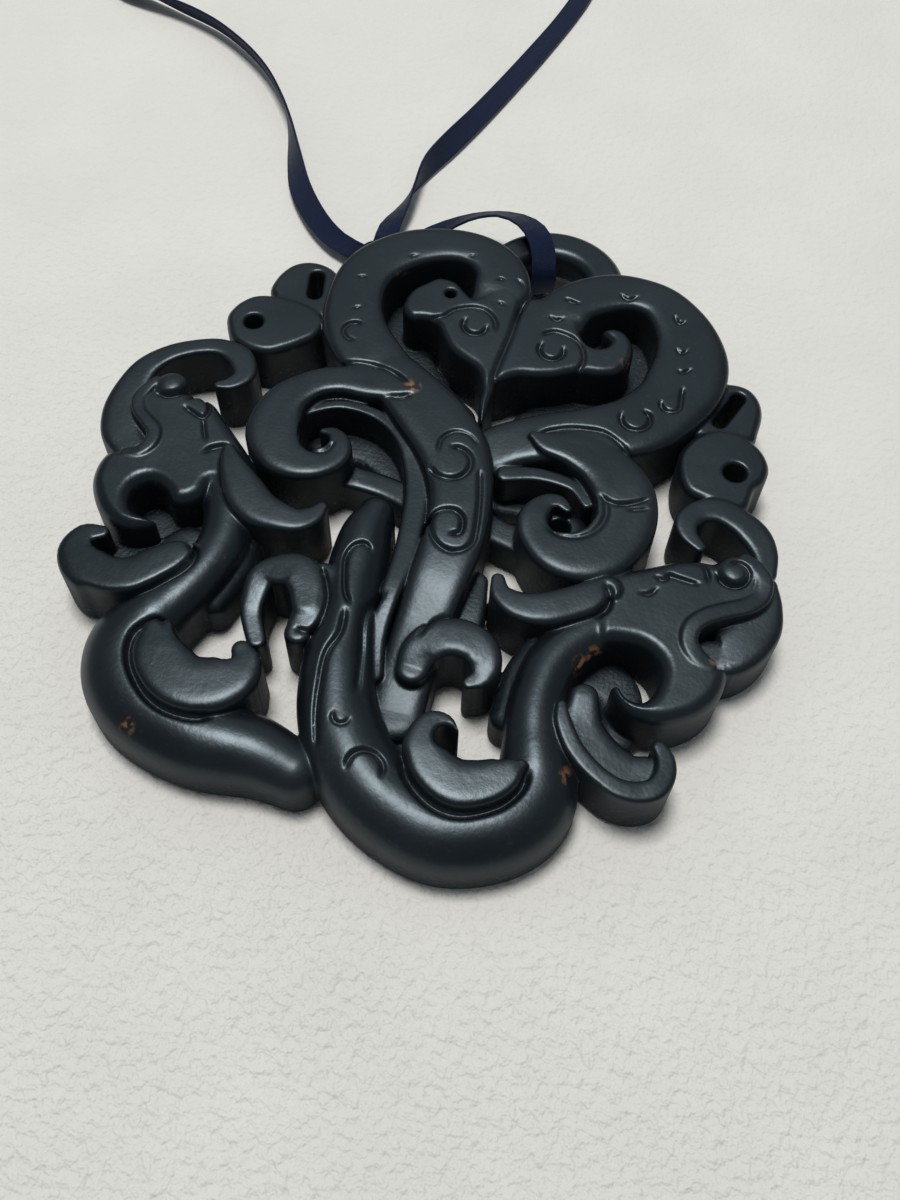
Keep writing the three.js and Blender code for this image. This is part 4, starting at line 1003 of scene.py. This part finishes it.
def stone_material():
    """Waxed near-black soapstone: mottled, speckled in its hollows, rubbed brighter on its ridges."""
    n = Nodes("waxed soapstone")
    at = n.add("ShaderNodeNewGeometry").outputs["Position"]
    recess = n.add("ShaderNodeAttribute", attribute_name="recess").outputs["Fac"]
    mottle = n.noise(90, 4, at)
    fine = n.noise(2600, 2, at)
    speck = n.noise(1500, 3, at)
    body = n.mix(n.ramp(mottle, 0.35, 0.7), STONE_DARK, STONE_LIGHT)
    grains = n.math("MULTIPLY", n.ramp(speck, 0.6, 0.75), n.ramp(recess, 0.2, 0.8, 0.15, 1))
    colour = n.mix(grains, body, STONE_GRAIN)
    worn = None
    for x, y, z, radius in WORN:
        gap = n.add("ShaderNodeVectorMath", {0: at, 1: place(x, y, z)}, operation="DISTANCE")
        spot = n.ramp(gap.outputs["Value"], radius * 1.6 * MM, radius * 0.4 * MM)
        worn = spot if worn is None else n.math("MAXIMUM", worn, spot)
    worn = n.math("MULTIPLY", worn, n.ramp(n.noise(1100, 3, at), 0.48, 0.6))
    colour = n.mix(worn, colour, STONE_WORN)
    n.link(colour, "Base Color")
    facing = n.add("ShaderNodeSeparateXYZ", {0: n.add("ShaderNodeNewGeometry").outputs["Normal"]})
    steep = n.ramp(facing.outputs["Z"], 0.6, 0, 0, 0.3)
    hollow = n.math("ADD", n.math("MULTIPLY", recess, 0.35), steep)
    rough = n.math("ADD", n.ramp(mottle, 0.3, 0.7, 0.25, 0.36), hollow)
    n.link(n.math("ADD", rough, n.math("MULTIPLY", fine, 0.06)), "Roughness")
    bumpy = n.math("MULTIPLY", fine, n.ramp(recess, 0.1, 0.7, 0.12, 1))
    first = n.add("ShaderNodeBump", {"Height": bumpy, "Distance": 0.00025, "Strength": 0.5})
    soft = n.add("ShaderNodeBump", {
        "Height": mottle, "Distance": 0.0006, "Strength": 0.35, "Normal": first.outputs["Normal"],
    })
    n.link(soft.outputs["Normal"], "Normal")
    n.set(Specular_IOR_Level=0.5, Specular_Tint=(0.72, 0.9, 1, 1))
    n.set(Coat_Weight=0.1, Coat_Roughness=0.28)
    return n.material


def ribbon_material():
    """Navy satin: fine crosswise ribs, a closer selvedge at both edges, and a blue sheen."""
    n = Nodes("navy satin")
    weave = n.add("ShaderNodeUVMap", uv_map="weave").outputs["UV"]
    split = n.add("ShaderNodeSeparateXYZ", {0: weave})
    along, across = split.outputs["X"], split.outputs["Y"]
    ribs = n.math("SINE", n.math("MULTIPLY", along, 2 * math.pi / RIB_PITCH))
    floats = n.math("SINE", n.math("MULTIPLY", across, 2 * math.pi / FLOAT_PITCH))
    thread = n.math("MULTIPLY", ribs, floats)
    mottle = n.noise(300, 3)
    edge = n.ramp(n.math("ABSOLUTE", n.math("SUBTRACT", across, RIBBON_WIDTH / 2)), *SELVEDGE)
    light = n.math("ADD", n.ramp(thread, -1, 1, 0, 0.6), n.ramp(mottle, 0.3, 0.7, 0, 0.4))
    colour = n.mix(light, SATIN_DARK, SATIN_LIGHT)
    colour = n.mix(edge, colour, SATIN_EDGE)
    n.link(colour, "Base Color")
    n.link(n.ramp(light, 0, 1, 0.5, 0.34), "Roughness")
    bump = n.add("ShaderNodeBump", {"Height": thread, "Distance": 0.00006, "Strength": 0.6})
    n.link(bump.outputs["Normal"], "Normal")
    n.set(Specular_IOR_Level=0.3, Specular_Tint=(0.55, 0.68, 1, 1))
    n.set(Sheen_Weight=0.04, Sheen_Roughness=0.4, Sheen_Tint=(0.35, 0.5, 1, 1))
    return n.material


def floor_material():
    """Pale warm-grey paper with a faint tooth."""
    n = Nodes("pale paper")
    at = n.add("ShaderNodeNewGeometry").outputs["Position"]
    blotch = n.noise(60, 6, at)
    colour = n.mix(blotch, PAPER_DARK, PAPER_LIGHT)
    n.link(colour, "Base Color")
    n.set(Roughness=0.9)
    tooth = n.ramp(n.add("ShaderNodeSeparateXYZ", {0: at}).outputs["Y"], 0.03, -0.05, 0.4, 1)
    height = n.math("MULTIPLY", n.noise(1000, 2, at), tooth)
    bump = n.add("ShaderNodeBump", {"Height": height, "Distance": 0.0009, "Strength": 0.7})
    n.link(bump.outputs["Normal"], "Normal")
    return n.material


# The floor and the light

def make_floor():
    """The pale surface, just below the pendant's back."""
    mesh = bpy.data.meshes.new("floor")
    reach = 1.5
    drop = 0.00002
    corners = [(-reach, -reach, 0), (reach, -reach, 0), (reach, reach, 0), (-reach, reach, 0)]
    mesh.from_pydata(corners, [], [(0, 1, 2, 3)])
    floor = bpy.data.objects.new("floor", mesh)
    floor.location.z = -drop
    bpy.context.collection.objects.link(floor)
    mesh.materials.append(floor_material())


def area_light(name, at, size, power, colour):
    """A soft rectangular light that faces the pendant."""
    data = bpy.data.lights.new(name, "AREA")
    data.shape = "RECTANGLE"
    data.size, data.size_y = size
    data.energy = power
    data.color = colour
    light = bpy.data.objects.new(name, data)
    light.location = at
    light.rotation_euler = (-Vector(at)).to_track_quat("-Z", "Y").to_euler()
    bpy.context.collection.objects.link(light)


def make_lights():
    """A soft lamp overhead, and a broad dim wall beyond the ring that the flat tops mirror."""
    area_light("lamp", at=(-0.12, 0.1, 1), size=(0.3, 0.3), power=7.6, colour=(1, 0.99, 0.965))
    area_light("wall", at=(-0.3, 0.8, 0.9), size=(1.2, 0.8), power=1, colour=(0.8, 0.92, 1))
    world = bpy.data.worlds.new("room")
    world.use_nodes = True
    background = world.node_tree.nodes["Background"]
    background.inputs["Color"].default_value = (0.86, 0.94, 1, 1)
    background.inputs["Strength"].default_value = 0.19
    bpy.context.scene.world = world
    bpy.context.scene.view_settings.view_transform = "Standard"


make_ribbon(ribbon_material())
make_stone(stone_material())
make_floor()
make_lights()
